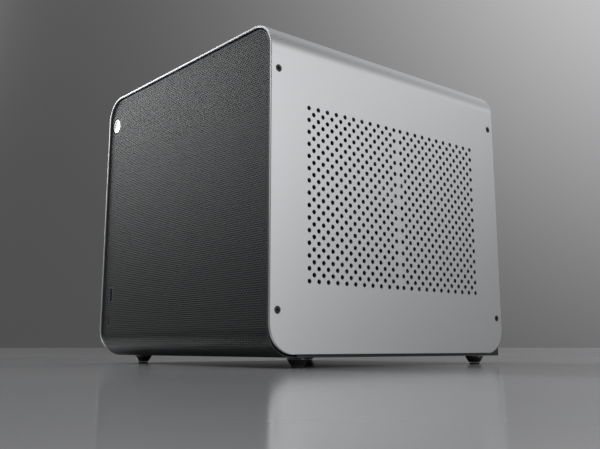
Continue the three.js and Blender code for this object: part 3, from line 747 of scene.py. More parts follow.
@dataclass(frozen=True)
class Laminate(Finish):
    """A circuit board: dark mask over traces, with small bright pads."""

    colour: Point3 = (0.008, 0.012, 0.011)
    trace: Point3 = (0.028, 0.036, 0.032)

    def wire(self) -> bpy.types.Material:
        """Build the material."""
        s = Surface(self.name)
        blocks = s.node(
            "ShaderNodeTexVoronoi", {"Vector": s.object_place, "Scale": 210.0}, distance="CHEBYCHEV"
        )
        pick = s.math("GREATER_THAN", blocks.outputs["Color"], 0.5)
        stripes = s.node("ShaderNodeMix", {0: pick, 2: s.wave(330.0), 3: s.wave(330.0, "Y")}).outputs[0]
        copper = s.math("GREATER_THAN", stripes, 0.62)
        dots = s.node("ShaderNodeTexVoronoi", {"Vector": s.object_place, "Scale": 420.0, "Randomness": 0.5})
        pads = s.math("LESS_THAN", dots.outputs["Distance"], 0.16)
        colour = s.tint(copper, self.colour, self.trace)
        with_pads = s.node(
            "ShaderNodeMix", {0: pads, 6: colour, 7: (0.42, 0.4, 0.34, 1.0)}, data_type="RGBA"
        ).outputs[2]
        normal = s.relief(s.math("ADD", copper, pads), 0.4, 0.035)
        return s.set(
            Base_Color=with_pads, Metallic=s.math("MULTIPLY", pads, 0.9),
            Roughness=s.spread(copper, 0.42, 0.3, 0, 1), Normal=normal,
        )


@dataclass(frozen=True)
class FilterCloth(Finish):
    """A fine woven dust filter."""

    colour: Point3 = (0.01, 0.0103, 0.0112)
    threads: float = 260.0

    def wire(self) -> bpy.types.Material:
        """Build the material."""
        s = Surface(self.name)
        weave = s.math("MAXIMUM", s.wave(self.threads), s.wave(self.threads, "Z"))
        lint = s.noise(60.0, 6.0)
        colour = s.tint(s.math("MULTIPLY", weave, s.spread(lint, 0.6, 1.0)), *shades(self.colour, 0.6))
        return s.set(
            Base_Color=colour, Roughness=s.spread(lint, 0.75, 0.92), Normal=s.relief(weave, 0.7, 0.2),
            Sheen_Weight=0.03,
        )


@dataclass(frozen=True)
class BraidedSleeve(Finish):
    """A braided sleeve: two crossing sets of strands at fixed slants."""

    colour: Point3 = (0.02, 0.02, 0.022)
    strands: float = 190.0

    def wire(self) -> bpy.types.Material:
        """Build the material."""
        s = Surface(self.name)
        right = s.wave(self.strands, "X", s.stretched((1, 1, 1), (0.6, 0.5, 0.8)))
        left = s.wave(self.strands, "X", s.stretched((1, 1, 1), (-0.6, 0.4, -0.8)))
        braid = s.math("MAXIMUM", right, left)
        colour = s.tint(braid, *shades(self.colour, 0.5))
        return s.set(
            Base_Color=colour, Roughness=s.spread(braid, 0.5, 0.68, 0, 1), Normal=s.relief(braid, 0.6, 0.25)
        )


@dataclass(frozen=True)
class StudioFloor(Finish):
    """A pale satin floor."""

    colour: Point3 = (0.42, 0.425, 0.43)

    def wire(self) -> bpy.types.Material:
        """Build the material."""
        s = Surface(self.name)
        soft = s.noise(3.0, 3.0)
        colour = s.tint(soft, *shades(self.colour, 0.03))
        return s.set(Base_Color=colour, Roughness=s.spread(soft, 0.1, 0.14), Specular_IOR_Level=0.5)


ANODISED = BlastedMetal("anodised_cover")
BRIGHT_EDGE = BlastedMetal("cut_edge", colour=(0.26, 0.263, 0.27), roughness=0.46, depth=0.004)
SCREW_BLACK = PowderCoat("screw_black", colour=(0.03, 0.03, 0.032), roughness=0.3, metallic=0.7)
CHASSIS_BLACK = PowderCoat("chassis_black")
MESH_BLACK = PowderCoat(
    "mesh_black", colour=(0.2, 0.202, 0.208), roughness=0.26, peel=1500.0, depth=0.012, metallic=0.85
)
BLACK_PLASTIC = MouldedPlastic("black_plastic")
GREY_PLASTIC = MouldedPlastic("grey_plastic", colour=(0.045, 0.047, 0.05), roughness=0.4)
FOOT_BLACK = MouldedPlastic("foot_black", colour=(0.01, 0.01, 0.011), roughness=0.16, depth=0.006, coat=0.6)
RING_BLACK = MouldedPlastic("ring_black", colour=(0.006, 0.006, 0.007), roughness=0.55)
FOOT_RING = PolishedMetal("foot_ring", colour=(0.12, 0.12, 0.125), roughness=0.16)
BUTTON_METAL = PolishedMetal(
    "button_metal", colour=(0.22, 0.222, 0.225), roughness=0.44, marks=(4200.0, 200.0, 4200.0)
)
BRIGHT_METAL = PolishedMetal("bright_metal")
GOLD_CONTACT = PolishedMetal("gold_contact", colour=(0.85, 0.62, 0.28), roughness=0.22)
COPPER = PolishedMetal("heat_pipe_nickel", colour=(0.7, 0.66, 0.62), roughness=0.2)
ZINC = BrushedMetal("zinc_plate", spangle=0.45)
FIN_METAL = BrushedMetal(
    "cooler_fins", colour=(0.68, 0.69, 0.7), roughness=0.28, streaks=(40.0, 1800.0, 400.0)
)
DRIVE_CASE = BrushedMetal(
    "drive_case", colour=(0.42, 0.43, 0.44), roughness=0.4, streaks=(400.0, 90.0, 400.0)
)
PAD_RUBBER = RubberCompound("pad_rubber")
LEAD_BLACK = BraidedSleeve("lead_black")
CIRCUIT = Laminate("circuit_board")
FILTER_CLOTH = FilterCloth("filter_mesh")
USB_BLUE = MouldedPlastic("usb_blue", colour=(0.012, 0.06, 0.32), roughness=0.35)
SOCKET_BLUE = MouldedPlastic("socket_blue", colour=(0.045, 0.065, 0.13), roughness=0.4)
PORT_COLOURS = {
    "green": MouldedPlastic("port_green", colour=(0.05, 0.32, 0.08), roughness=0.35),
    "pink": MouldedPlastic("port_pink", colour=(0.55, 0.09, 0.16), roughness=0.35),
    "sky": MouldedPlastic("port_sky", colour=(0.06, 0.25, 0.5), roughness=0.35),
}


# ---------- repeated work ----------
class Pattern(Wiring):
    """A geometry-nodes tree with named sizes that repeats or cuts something."""

    def __init__(self, name: str) -> None:
        """Start a tree that takes and gives a shape."""
        super().__init__(bpy.data.node_groups.new(name, "GeometryNodeTree"))
        face = self.tree.interface
        face.new_socket("Shape", in_out="INPUT", socket_type="NodeSocketGeometry")
        face.new_socket("Result", in_out="OUTPUT", socket_type="NodeSocketGeometry")
        self.start = self.tree.nodes.new("NodeGroupInput")
        self.end = self.tree.nodes.new("NodeGroupOutput")
        self.values: dict[str, object] = {}

    def size(self, name: str, value: object) -> bpy.types.NodeSocket:
        """Add a named input and remember the value to set on it.

        Args:
            name: What it is called on the modifier.
            value: A number, a vector, an object or a material.

        Returns:
            The socket inside the tree.
        """
        kinds = {int: "Int", float: "Float", tuple: "Vector"}
        kinds |= {bpy.types.Object: "Object", bpy.types.Material: "Material"}
        kind = next(word for sort, word in kinds.items() if isinstance(value, sort))
        socket = self.tree.interface.new_socket(name, in_out="INPUT", socket_type=f"NodeSocket{kind}")
        self.values[socket.identifier] = value
        return self.start.outputs[name]

    def vector(self, x: object, y: object, z: object) -> bpy.types.NodeSocket:
        """Three values as a vector."""
        return self.node("ShaderNodeCombineXYZ", {0: x, 1: y, 2: z}).outputs[0]

    def part(self, name: str, thing: bpy.types.Object) -> bpy.types.NodeSocket:
        """The shape of an object that is handed in by name."""
        return self.node("ObjectInfo", {"Object": self.size(name, thing)}).outputs["Geometry"]

    def run(
        self, base: bpy.types.Object, result: bpy.types.NodeSocket, finish: Finish | None = None
    ) -> bpy.types.Mesh:
        """Run the tree on an object and keep the result as a plain mesh.

        Args:
            base: The object that goes in; it is used up.
            result: The socket with the finished shape.
            finish: The finish that all of it gets, or none to keep its slots.

        Returns:
            The mesh.
        """
        made = self.node("RealizeInstances", {0: result}).outputs[0]
        if finish is not None:
            made = self.node(
                "SetMaterial", {"Geometry": made, "Material": self.size("Finish", finish.material())}
            ).outputs[0]
        self.tree.links.new(made, self.end.inputs[0])
        modifier = base.modifiers.new(self.tree.name, "NODES")
        modifier.node_group = self.tree
        for identifier, value in self.values.items():
            modifier[identifier] = value
        base.update_tag()
        graph = bpy.context.evaluated_depsgraph_get()
        mesh = bpy.data.meshes.new_from_object(base.evaluated_get(graph), depsgraph=graph)
        base.modifiers.remove(modifier)
        for thing in [base, *[v for v in self.values.values() if isinstance(v, bpy.types.Object)]]:
            bpy.data.objects.remove(thing)
        return mesh


def workpiece(mesh: bpy.types.Mesh) -> bpy.types.Object:
    """A mesh as an object that a pattern can use up."""
    thing = bpy.data.objects.new("workpiece", mesh)
    bpy.context.scene.collection.objects.link(thing)
    return thing


def places(points: Sequence[Point3]) -> bpy.types.Object:
    """Places in millimetres as a workpiece of loose points."""
    mesh = bpy.data.meshes.new("places")
    mesh.from_pydata((np.array(points, float).reshape(-1, 3) * MM).tolist(), [], [])
    return workpiece(mesh)


def repeated_round(
    name: str, part: bpy.types.Mesh, count: int, finish: Finish, start: float = 0.0
) -> bpy.types.Mesh:
    """Repeat a part round the Z axis.

    Args:
        name: The pattern's name.
        part: The part, in its first place.
        count: How many there are.
        finish: What they are finished in.
        start: The first one's turn in radians.

    Returns:
        The mesh of all of them.
    """
    tree = Pattern(name)
    number = tree.size("Count", count)
    line = tree.node("MeshLine", {"Count": number, "Offset": (0.0, 0.0, 0.0)}).outputs[0]
    step = tree.math("DIVIDE", TAU, number)
    turn = tree.math(
        "ADD", tree.math("MULTIPLY", tree.node("InputIndex", {}).outputs[0], step),
        tree.size("Start angle", start),
    )
    shape = tree.part("Part", workpiece(part))
    links = {"Points": line, "Instance": shape, "Rotation": tree.vector(0.0, 0.0, turn)}
    return tree.run(places([(0, 0, 0)]), tree.node("InstanceOnPoints", links).outputs[0], finish)


def repeated_along(
    name: str, part: bpy.types.Mesh, count: int, step: Point3, finish: Finish
) -> bpy.types.Mesh:
    """Repeat a part in a straight row.

    Args:
        name: The pattern's name.
        part: The part, in its first place.
        count: How many there are.
        step: From one to the next, in millimetres.
        finish: What they are finished in.

    Returns:
        The mesh of all of them.
    """
    tree = Pattern(name)
    offset = tree.size("Step", tuple(s * MM for s in step))
    line = tree.node("MeshLine", {"Count": tree.size("Count", count), "Offset": offset}).outputs[0]
    links = {"Points": line, "Instance": tree.part("Part", workpiece(part))}
    return tree.run(places([(0, 0, 0)]), tree.node("InstanceOnPoints", links).outputs[0], finish)


def repeated_at(name: str, part: bpy.types.Mesh, spots: Sequence[Point3], finish: Finish) -> bpy.types.Mesh:
    """Repeat a part at places given in millimetres, all turned alike."""
    tree = Pattern(name)
    links = {"Points": tree.start.outputs[0], "Instance": tree.part("Part", workpiece(part))}
    return tree.run(places(spots), tree.node("InstanceOnPoints", links).outputs[0], finish)


def punched(
    name: str, body: bpy.types.Mesh, tool: bpy.types.Mesh, spots: Sequence[Point3]
) -> bpy.types.Mesh:
    """Cut a tool's shape out of a body at many places.

    Args:
        name: The pattern's name.
        body: What is cut; it keeps its slots.
        tool: The cutter, round the origin.
        spots: Where it cuts, in millimetres.

    Returns:
        The cut mesh.
    """
    tree = Pattern(name)
    links = {"Points": tree.part("Places", places(spots)), "Instance": tree.part("Cutter", workpiece(tool))}
    cutters = tree.node("RealizeInstances", {0: tree.node("InstanceOnPoints", links).outputs[0]}).outputs[0]
    links = {"Mesh 1": tree.start.outputs[0], "Mesh 2": cutters}
    made = tree.node("MeshBoolean", links, operation="DIFFERENCE", solver="MANIFOLD")
    return tree.run(workpiece(body), made.outputs[0])


def joined(meshes: Sequence[bpy.types.Mesh], slots: Sequence[int | None]) -> bpy.types.Mesh:
    """Put several meshes in one.

    Args:
        meshes: What goes in.
        slots: For each, the slot all of it gets, or None where it keeps the slots it has.

    Returns:
        The one mesh.
    """
    points: list[np.ndarray] = []
    faces: list[tuple[int, ...]] = []
    numbers: list[int] = []
    base = 0
    for i, mesh in enumerate(meshes):
        co = np.zeros(len(mesh.vertices) * 3, np.float32)
        mesh.vertices.foreach_get("co", co)
        points.append(co.reshape(-1, 3))
        for face in mesh.polygons:
            faces.append(tuple(v + base for v in face.vertices))
            numbers.append(face.material_index if slots[i] is None else slots[i])
        base += len(mesh.vertices)
    made = bpy.data.meshes.new("joined")
    made.from_pydata(np.concatenate(points).tolist(), [], faces)
    made.polygons.foreach_set("material_index", np.array(numbers, np.int32))
    return made


def shifted(mesh: bpy.types.Mesh, by: Sequence[float], turn: Matrix | None = None) -> bpy.types.Mesh:
    """Turn a mesh, then shift it by millimetres."""
    mesh.transform(Matrix.Translation(Vector(by) * MM) @ (turn or Matrix.Identity(4)))
    return mesh


# ---------- the outer cover ----------
@dataclass
class OuterCover:
    """One bent aluminium sheet, open at the front, rear and bottom, with two punched vent fields."""

    sheet: float = 2.0
    bend: float = 23.0
    edge: float = 0.45
    vent_radius: float = 1.95
    vent_pitch: float = 10.0
    vent_columns: int = 11
    vent_rows: int = 15
    vent_middle: float = 54.0
    vent_height: float = 136.0
    arc_steps: int = 22
    screw_mouth: float = 3.1
    screw_throat: float = 1.9
    sink_depth: float = 1.5
    foot_steps: int = 12

    def profile(self, half: float, low: float, high: float, bend: float) -> list[Point]:
        """The sheet's line from the left wall's foot over the top to the right wall's foot."""
        points: list[Point] = [(-half, low), (-half, high - bend - 0.6)]
        for across, up in quarter(self.arc_steps):
            points.append((-half + bend + bend * across, high - bend + bend * up))
        points.append((-half + bend + 0.6, high))
        return points + [(-u, v) for u, v in points[::-1]]

    def section_depth(self, height: float, depth: float, low: float) -> float:
        """How far the wall reaches from the middle at a height, with its lower corners rounded."""
        rise = min(max(height - low, 0.0), self.bend)
        return depth - self.bend + math.sqrt(max(self.bend**2 - (self.bend - rise) ** 2, 0.0))

    def blank(self) -> bpy.types.Mesh:
        """The bent sheet before punching: both faces, and chamfered cut edges in their own finish."""
        low, high = span("outer_cover")
        half, depth = high[0], high[1]
        turns = [k * math.pi / 2 / self.foot_steps for k in range(self.foot_steps + 1)]
        heights = [low[2] + self.bend * (1 - math.cos(turn)) for turn in turns]

        def line(inset: float, drop: float) -> list[Point]:
            """The profile at a depth into the sheet, with its ends' height."""
            base = self.profile(half - inset, low[2] + drop, high[2] - inset, self.bend - inset)
            feet = [(-half + inset, z + drop if i == 0 else z) for i, z in enumerate(heights)]
            return feet + base[1:-1] + [(-u, v) for u, v in feet[::-1]]

        edge = self.edge
        rings: list[np.ndarray] = []
        for inset, back in ((0.0, edge), (edge, 0.0), (self.sheet - edge, 0.0), (self.sheet, edge)):
            flat = line(inset, back)
            for side in (-1, 1):
                ring = []
                for u, v in flat:
                    reach = self.section_depth(v - back, depth, low[2])
                    ring.append((u, side * (reach - back), v))
                rings.append(np.array(ring))
        n = len(rings[0])
        points = np.concatenate(rings)

        def number(layer: int, side: int) -> int:
            """The first corner of one of the eight rings."""
            return (layer * 2 + side) * n

        faces: list[list[int]] = []
        slots: list[int] = []
        for i in range(n - 1):
            for layer, flip in ((0, False), (3, True)):
                a, b = number(layer, 0), number(layer, 1)
                face = [a + i, b + i, b + i + 1, a + i + 1]
                faces.append(face[::-1] if flip else face)
                slots.append(0)
            for side in (0, 1):
                for layer in range(3):
                    a, b = number(layer, side), number(layer + 1, side)
                    face = [a + i, a + i + 1, b + i + 1, b + i]
                    faces.append(face if side == 0 else face[::-1])
                    slots.append(1)
        for i in (0, n - 1):
            for layer in range(3):
                a, b = number(layer, 0) + i, number(layer + 1, 0) + i
                c, d = number(layer + 1, 1) + i, number(layer, 1) + i
                face = [a, b, c, d]
                faces.append(face if i == 0 else face[::-1])
                slots.append(1)
        former = Former().shell(points, faces)
        former.slots = slots
        return former.mesh("cover_blank")

    def vent_places(self) -> list[Point3]:
        """Where the vent punch strikes: two fields, each with a staggered one between."""
        spots: list[Point3] = []
        for side in (-1, 1):
            for fewer in (0, 1):
                columns, rows = self.vent_columns - fewer, self.vent_rows - fewer
                for i in range(columns):
                    for k in range(rows):
                        along = (i - (columns - 1) / 2) * self.vent_pitch
                        up = (k - (rows - 1) / 2) * self.vent_pitch
                        spots.append((0.0, side * self.vent_middle + along, self.vent_height + up))
        return spots

    def build(self) -> None:
        """Punch and countersink the blank, and hang the cover."""
        wall = span("outer_cover")[1][0]
        width, vent = wall + 5, self.vent_radius
        punch = Former().lathe(Axis.X, (0, 0), [(0, -width), (vent, -width), (vent, width), (0, width)], 16)
        mesh = punched("vent_field", self.blank(), punch.mesh("punch"), self.vent_places())
        mouth, throat, depth = self.screw_mouth, self.screw_throat, wall - self.sink_depth
        sink = [(0, -wall - 1), (mouth + 1, -wall - 1), (mouth, -wall), (throat, -depth)]
        sink += [(throat, depth), (mouth, wall), (mouth + 1, wall + 1), (0, wall + 1)]
        seats = [middle(f"cover_screw_{i}") for i in range(1, 5)]
        spots = sorted({(0.0, round(seat[1], 2), round(seat[2], 2)) for seat in seats})
        spots += [(0.0, -y, z) for _, y, z in spots if (0.0, -y, z) not in spots]
        mesh = punched("screw_sinks", mesh, Former().lathe(Axis.X, (0, 0), sink, 20).mesh("sink"), spots)
        hang(
            "cover_sheet", mesh, [ANODISED, BRIGHT_EDGE],
            Riding("chassis", ("outer_cover",), "anodised_cover"), 24,
        )


@dataclass
class CoverScrews:
    """The eight countersunk screws that hold the cover, each with a round socket."""

    head: float = 2.85
    shank: float = 1.45
    length: float = 8.0
    socket: float = 1.15
    socket_depth: float = 1.3
    threads: int = 12
    thread_pitch: float = 0.45
    thread_depth: float = 0.22

    def screw(self) -> bpy.types.Mesh:
        """One screw along X, its face at 0 and its shank towards +X."""
        f = Former()
        profile = [(0.0, self.length), (self.shank - 0.3, self.length), (self.shank, self.length - 0.5)]
        for k in range(self.threads):
            x = self.length - 0.7 - k * self.thread_pitch
            profile += [(self.shank, x), (self.shank - self.thread_depth, x - self.thread_depth)]
        profile += [(self.shank, 1.7), (self.head, 0.3), (self.head - 0.12, 0.06), (self.head - 0.4, 0.0)]
        profile += [
            (self.socket + 0.1, 0.0), (self.socket, 0.12), (self.socket, self.socket_depth),
            (0.0, self.socket_depth + 0.3),
        ]
        f.lathe(Axis.X, (0, 0), profile, 18)
        return f.mesh("screw")

    def build(self) -> None:
        """Seat four screws on each side."""
        left = [tuple(middle(f"cover_screw_{i}")) for i in range(1, 5)]
        face = span("cover_screw_1")[0][0]
        spots = [(face, y, z) for _, y, z in left]
        meshes = [repeated_at("left_screws", self.screw(), spots, SCREW_BLACK)]
        other = self.screw()
        other.transform(Matrix.Rotation(math.pi, 4, "Z"))
        meshes.append(repeated_at("right_screws", other, [(-x, y, z) for x, y, z in spots], SCREW_BLACK))
        nodes = tuple(f"cover_screw_{i}" for i in range(1, 9))
        hang("cover_screws", joined(meshes, [0, 0]), [SCREW_BLACK], Riding("chassis", nodes, "screw_black"))


# ---------- the front ----------
@dataclass
class FrontPanel:
    """The perforated front sheet with its frame, pegs and dust filter."""

    sheet: float = 1.0
    bend: float = 22.0
    pitch: float = 2.0
    row: float = 1.7320508
    hole: float = 0.68
    border: float = 1.9
    corner: float = 19.8
    lip: float = 2.2
    bands: int = 5
    button_clear: float = 10.4
    socket_clear: float = 1.4
    fold_steps: int = 14
    frame_rim: float = 8.0
    frame_depth: float = 7.0
    crossbar: Point = (146.0, 151.0)
    peg_across: float = 109.0
    peg_heights: Point = (46.0, 248.0)
    finish: Finish = MESH_BLACK

    def __post_init__(self) -> None:
        """Take the sheet's place from the frame."""
        self.low, self.high = span("front_mesh_panel")
        self.half = float(self.high[0])
        self.face = float(self.low[1])
        self.under = 3.5
        self.arc = self.bend * math.pi / 2
        self.length = self.under + self.arc + float(self.high[2] - self.low[2]) - self.bend
        self.columns = int((self.half - self.border) / self.pitch)
        self.first = self.under + 2.0

    def formed(self, flat: np.ndarray, inset: np.ndarray) -> np.ndarray:
        """Bend points of the flat sheet to its shape.

        Args:
            flat: Points (across, along from the rear end of the foot).
            inset: How far each lies below the outer face.

        Returns:
            Points in space.
        """
        run = flat[:, 1]
        turn = np.clip((run - self.under) / self.bend, 0, math.pi / 2)
        radius = self.bend - inset
        axis_y, axis_z = self.face + self.bend, self.low[2] + self.bend
        y = axis_y - radius * np.sin(turn) + np.clip(self.under - run, 0, None)
        z = axis_z - radius * np.cos(turn) + np.clip(run - self.under - self.arc, 0, None)
        return np.stack([flat[:, 0], y, z], 1)

    def run_at(self, height: float) -> float:
        """The flat length at which the upright part has a height."""
        return height - self.low[2] - self.bend + self.under + self.arc

    def openings(self) -> list[tuple[float, float, float, float]]:
        """Round and oblong openings, as middle across, middle along, half width and half length."""
        x, _, z = middle("power_button")
        found = [(x, self.run_at(z), self.button_clear, self.button_clear)]
        for node in ("usb_a_socket", "usb_c_socket"):
            low, high = span(node)
            x, _, z = (low + high) / 2
            wide, long = (high[0] - low[0]) / 2, (high[2] - low[2]) / 2
            found.append((x, self.run_at(z), wide + self.socket_clear, long + self.socket_clear))
        return found

    def lattice(self) -> np.ndarray:
        """Which places of the lattice are punched: an array of rows and columns."""
        rows = int((self.length - self.border - self.first) / self.row)
        row, column = np.mgrid[0:rows, -self.columns : self.columns + 1]
        x = (column + 0.5 * (row % 2)) * self.pitch
        s = self.first + (row + 0.5) * self.row
        keep = np.abs(x) < self.half - self.border
        over = np.clip(s - (self.length - self.corner), 0, None)
        out = np.clip(np.abs(x) - (self.half - self.corner), 0, None)
        keep &= np.hypot(over, out) < self.corner - self.border + 0.6
        for u, v, w, h in self.openings():
            near = np.hypot(x - u, s - v) < w if w == h else (np.abs(x - u) < w) & (np.abs(s - v) < h)
            keep &= ~near
        return keep

    def cells(self, keep: np.ndarray, first: int, last: int) -> list[Point]:
        """The middles of the punched cells in a band of rows."""
        rows, columns = np.nonzero(keep[first:last])
        rows = rows + first
        x = (columns - self.columns + 0.5 * (rows % 2)) * self.pitch
        s = self.first + (rows + 0.5) * self.row
        return list(zip(x.tolist(), s.tolist()))

    def cell_rim(self) -> Loop:
        """The outline of one cell round its middle, with the points where its neighbours meet it."""
        p, r = self.pitch / 2, self.row / 2
        return [(-p, -r), (0.0, -r), (p, -r), (p, r), (0.0, r), (-p, r)]

    def tile(self) -> bpy.types.Mesh:
        """One cell of the flat sheet with its hexagonal hole open."""
        rim = self.cell_rim()
        turns = (210, 270, 330, 30, 90, 150)
        hole = [
            (self.hole * math.cos(math.radians(a)), self.hole * math.sin(math.radians(a))) for a in turns
        ]
        mesh = bpy.data.meshes.new("tile")
        points = [(u * MM, v * MM, 0.0) for u, v in rim + hole]
        mesh.from_pydata(points, [], [(i, (i + 1) % 6, (i + 1) % 6 + 6, i + 6) for i in range(6)])
        return mesh

    def border_of(self, keep: np.ndarray) -> tuple[np.ndarray, np.ndarray]:
        """The plain metal round the punched cells, as corners and triangles of the flat sheet."""
        rows, columns = np.nonzero(keep)
        x = (columns - self.columns + 0.5 * (rows % 2)) * self.pitch
        s = self.first + (rows + 0.5) * self.row
        corners = np.stack([x, s], 1)[:, None, :] + np.array(self.cell_rim())
        keys = np.round(corners / 1e-3).astype(np.int64)
        flat, back = np.unique(keys.reshape(-1, 2), axis=0, return_inverse=True)
        rims = rim_edges(back.reshape(-1, 6))
        used, renumbered = np.unique(rims, return_inverse=True)
        points = [Vector(q) for q in (flat[used] * 1e-3).tolist()]
        edges = renumbered.reshape(-1, 2).tolist()
        steps = int(self.length / self.row)
        sides: Loop = [(-self.half, 0.0), (self.half, 0.0)]
        sides += [(self.half, (self.length - self.corner) * k / steps) for k in range(1, steps)]
        crown = rectangle(-self.half, self.half, 0.0, self.length, (0, 0, self.corner, self.corner), 12)[2:]
        sides += crown + [
            (-self.half, (self.length - self.corner) * k / steps) for k in range(steps - 1, 0, -1)
        ]
        loops = [sides]
        for u, v, w, h in self.openings():
            ring = self.button_clear - 1.4 if w == h else 0.0
            loops.append(
                circle((u, v), ring, 32)
                if ring
                else rectangle(u - w + 1.0, u + w - 1.0, v - h + 1.0, v + h - 1.0, 0.5, 3)
            )
        for loop in loops:
            add_loop(loop, points, edges)
        for line in self.cut_lines(keep)[1:-1]:
            for side in (-1, 1):
                at = self.first + line * self.row
                reach = flat[used][np.abs(flat[used][:, 1] * 1e-3 - at) < 0.01][:, 0] * 1e-3
                inner = reach.max() if side > 0 else reach.min()
                edges.append((len(points), len(points) + 1))
                points += [Vector((side * self.half, at)), Vector((float(inner), at))]
        filled, triangles = fill(points, edges, 1e-4)
        at = filled[triangles].mean(1)
        line = np.clip(((at[:, 1] - self.first) // self.row).astype(int), -1, keep.shape[0])
        column = np.round(at[:, 0] / self.pitch - 0.5 * (line % 2)).astype(int) + self.columns
        within = (line >= 0) & (line < keep.shape[0]) & (column >= 0) & (column < keep.shape[1])
        taken = np.zeros(len(triangles), bool)
        taken[within] = keep[line[within], column[within]]
        return filled, triangles[inside(at, loops) & ~taken]

    def cut_lines(self, keep: np.ndarray) -> list[int]:
        """The rows at which the sheet is parted into bands."""
        rows = keep.shape[0]
        return [round(rows * k / self.bands) for k in range(self.bands + 1)]

    def band(self, number: int, keep: np.ndarray, border: tuple[np.ndarray, np.ndarray]) -> bpy.types.Mesh:
        """One band of the sheet: cells repeated over the lattice, border joined on, both given thickness."""
        lines = self.cut_lines(keep)
        corners, triangles = border
        at = corners[triangles].mean(1)[:, 1]
        low = -1.0 if number == 0 else self.first + lines[number] * self.row
        high = self.length + 1 if number == self.bands - 1 else self.first + lines[number + 1] * self.row
        chosen = triangles[(at > low) & (at < high)]
        rim = bpy.data.meshes.new("border")
        rim.from_pydata([(u * MM, v * MM, 0.0) for u, v in corners.tolist()], [], chosen.tolist())
        spots = [(u, v, 0.0) for u, v in self.cells(keep, lines[number], lines[number + 1])]
        tree = Pattern("perforated_sheet")
        links = {
            "Points": tree.part("Cell places", places(spots)),
            "Instance": tree.part("Cell", workpiece(self.tile())),
        }
        cells = tree.node(
            "RealizeInstances", {0: tree.node("InstanceOnPoints", links).outputs[0]}
        ).outputs[0]
        whole = tree.node("JoinGeometry", {})
        tree.tree.links.new(cells, whole.inputs[0])
        tree.tree.links.new(tree.start.outputs[0], whole.inputs[0])
        weld = tree.size("Weld distance", 0.02 * MM)
        flat = tree.node("MergeByDistance", {"Geometry": whole.outputs[0], "Distance": weld}).outputs[0]
        depth = tree.math("MULTIPLY", tree.size("Sheet thickness", self.sheet * MM), -1.0)
        links = {"Mesh": flat, "Offset": (0.0, 0.0, 1.0), "Offset Scale": depth, "Individual": False}
        lower = tree.node("ExtrudeMesh", links).outputs[0]
        closed = tree.node("JoinGeometry", {})
        tree.tree.links.new(lower, closed.inputs[0])
        tree.tree.links.new(flat, closed.inputs[0])
        welded = tree.node("MergeByDistance", {"Geometry": closed.outputs[0], "Distance": weld}).outputs[0]
        mesh = tree.run(workpiece(rim), welded)
        co = np.zeros(len(mesh.vertices) * 3, np.float32)
        mesh.vertices.foreach_get("co", co)
        co = co.reshape(-1, 3) / MM
        formed = self.formed(co[:, :2].astype(float), -co[:, 2].astype(float)) * MM
        mesh.vertices.foreach_set("co", formed.astype(np.float32).ravel())
        mesh.update()
        return outward(mesh)

    def fold(self) -> bpy.types.Mesh:
        """The sheet's folded edge, up both sides and over the top, with its round outer corner."""
        start = self.low[2] + self.bend
        line: list[tuple[float, float, float, float]] = [(-self.half, start, -1.0, 0.0)]
        for side in (-1, 1):
            arc = []
            for u, v in quarter(self.fold_steps):
                across = -self.half + self.corner + self.corner * u
                arc.append((across, self.high[2] - self.corner + self.corner * v, u, v))
            line += arc if side < 0 else [(-u, v, -nu, nv) for u, v, nu, nv in arc[::-1]]
        line.append((self.half, start, 1.0, 0.0))
        section = [
            (0.0, self.sheet + 0.02), (0.0, self.lip), (self.sheet - 0.1, self.lip),
            (self.sheet - 0.1, self.sheet + 0.02),
        ]
        rings = [
            np.array([(u - nu * inset, self.face + back, v - nv * inset) for inset, back in section])
            for u, v, nu, nv in line
        ]
        return Former().loft(rings).mesh("fold")

    def frame_piece(self) -> None:
        """The plastic frame with its crossbar and four push pegs with barbed tips."""
        low, high = span("front_panel_frame")
        half, rim = high[0], self.frame_rim
        back = low[1] + self.frame_depth
        f = Former()
        outer = rectangle(-half, half, low[2], high[2], 6.0, 6)
        window = rectangle(-half + rim, half - rim, low[2] + rim, high[2] - rim, 1.0, 3)
        f.plate(Axis.Y, [outer, window], low[1], back)
        f.block((-half + 7, low[1] + 4.6, self.crossbar[0]), (half - 7, back - 0.05, self.crossbar[1]), 0.5)
        pegs = Former()
        length = high[1] - back
        profile = [
            (0.0, back - 1), (2.8, back - 1), (2.8, back + length - 4), (2.45, back + length - 2.6),
            (2.75, back + length - 1.8),
        ]
        pegs.lathe(Axis.Y, (0, 0), profile + [(1.4, high[1]), (0.0, high[1])], 16)
        spots = [(side * self.peg_across, 0.0, z) for side in (-1, 1) for z in self.peg_heights]
        mesh = joined(
            [f.mesh("frame"), repeated_at("push_pegs", pegs.mesh("peg"), spots, BLACK_PLASTIC)], [0, 0]
        )
        hang(
            "panel_frame", mesh, [BLACK_PLASTIC],
            Riding("front_panel", ("front_panel_frame",), "black_plastic"),
        )

    def filter_piece(self) -> None:
        """The dust filter, a fine plastic mesh in a flat carrier with a raised edge."""
        low, high = span("dust_filter")
        f = Former()
        f.block((low[0] + 2, low[1] + 0.5, low[2] + 2), (high[0] - 2, high[1] - 0.3, high[2] - 2), 0.1, 0)
        outer = rectangle(low[0], high[0], low[2], high[2], 1.5, 3)
        inner = rectangle(low[0] + 3, high[0] - 3, low[2] + 3, high[2] - 3, 1.0, 3)
        f.plate(Axis.Y, [outer, inner], low[1], high[1], 1)
        riding = Riding("front_panel", ("dust_filter",), "filter_mesh")
        hang("filter_screen", f.mesh("filter"), [FILTER_CLOTH, BLACK_PLASTIC], riding)

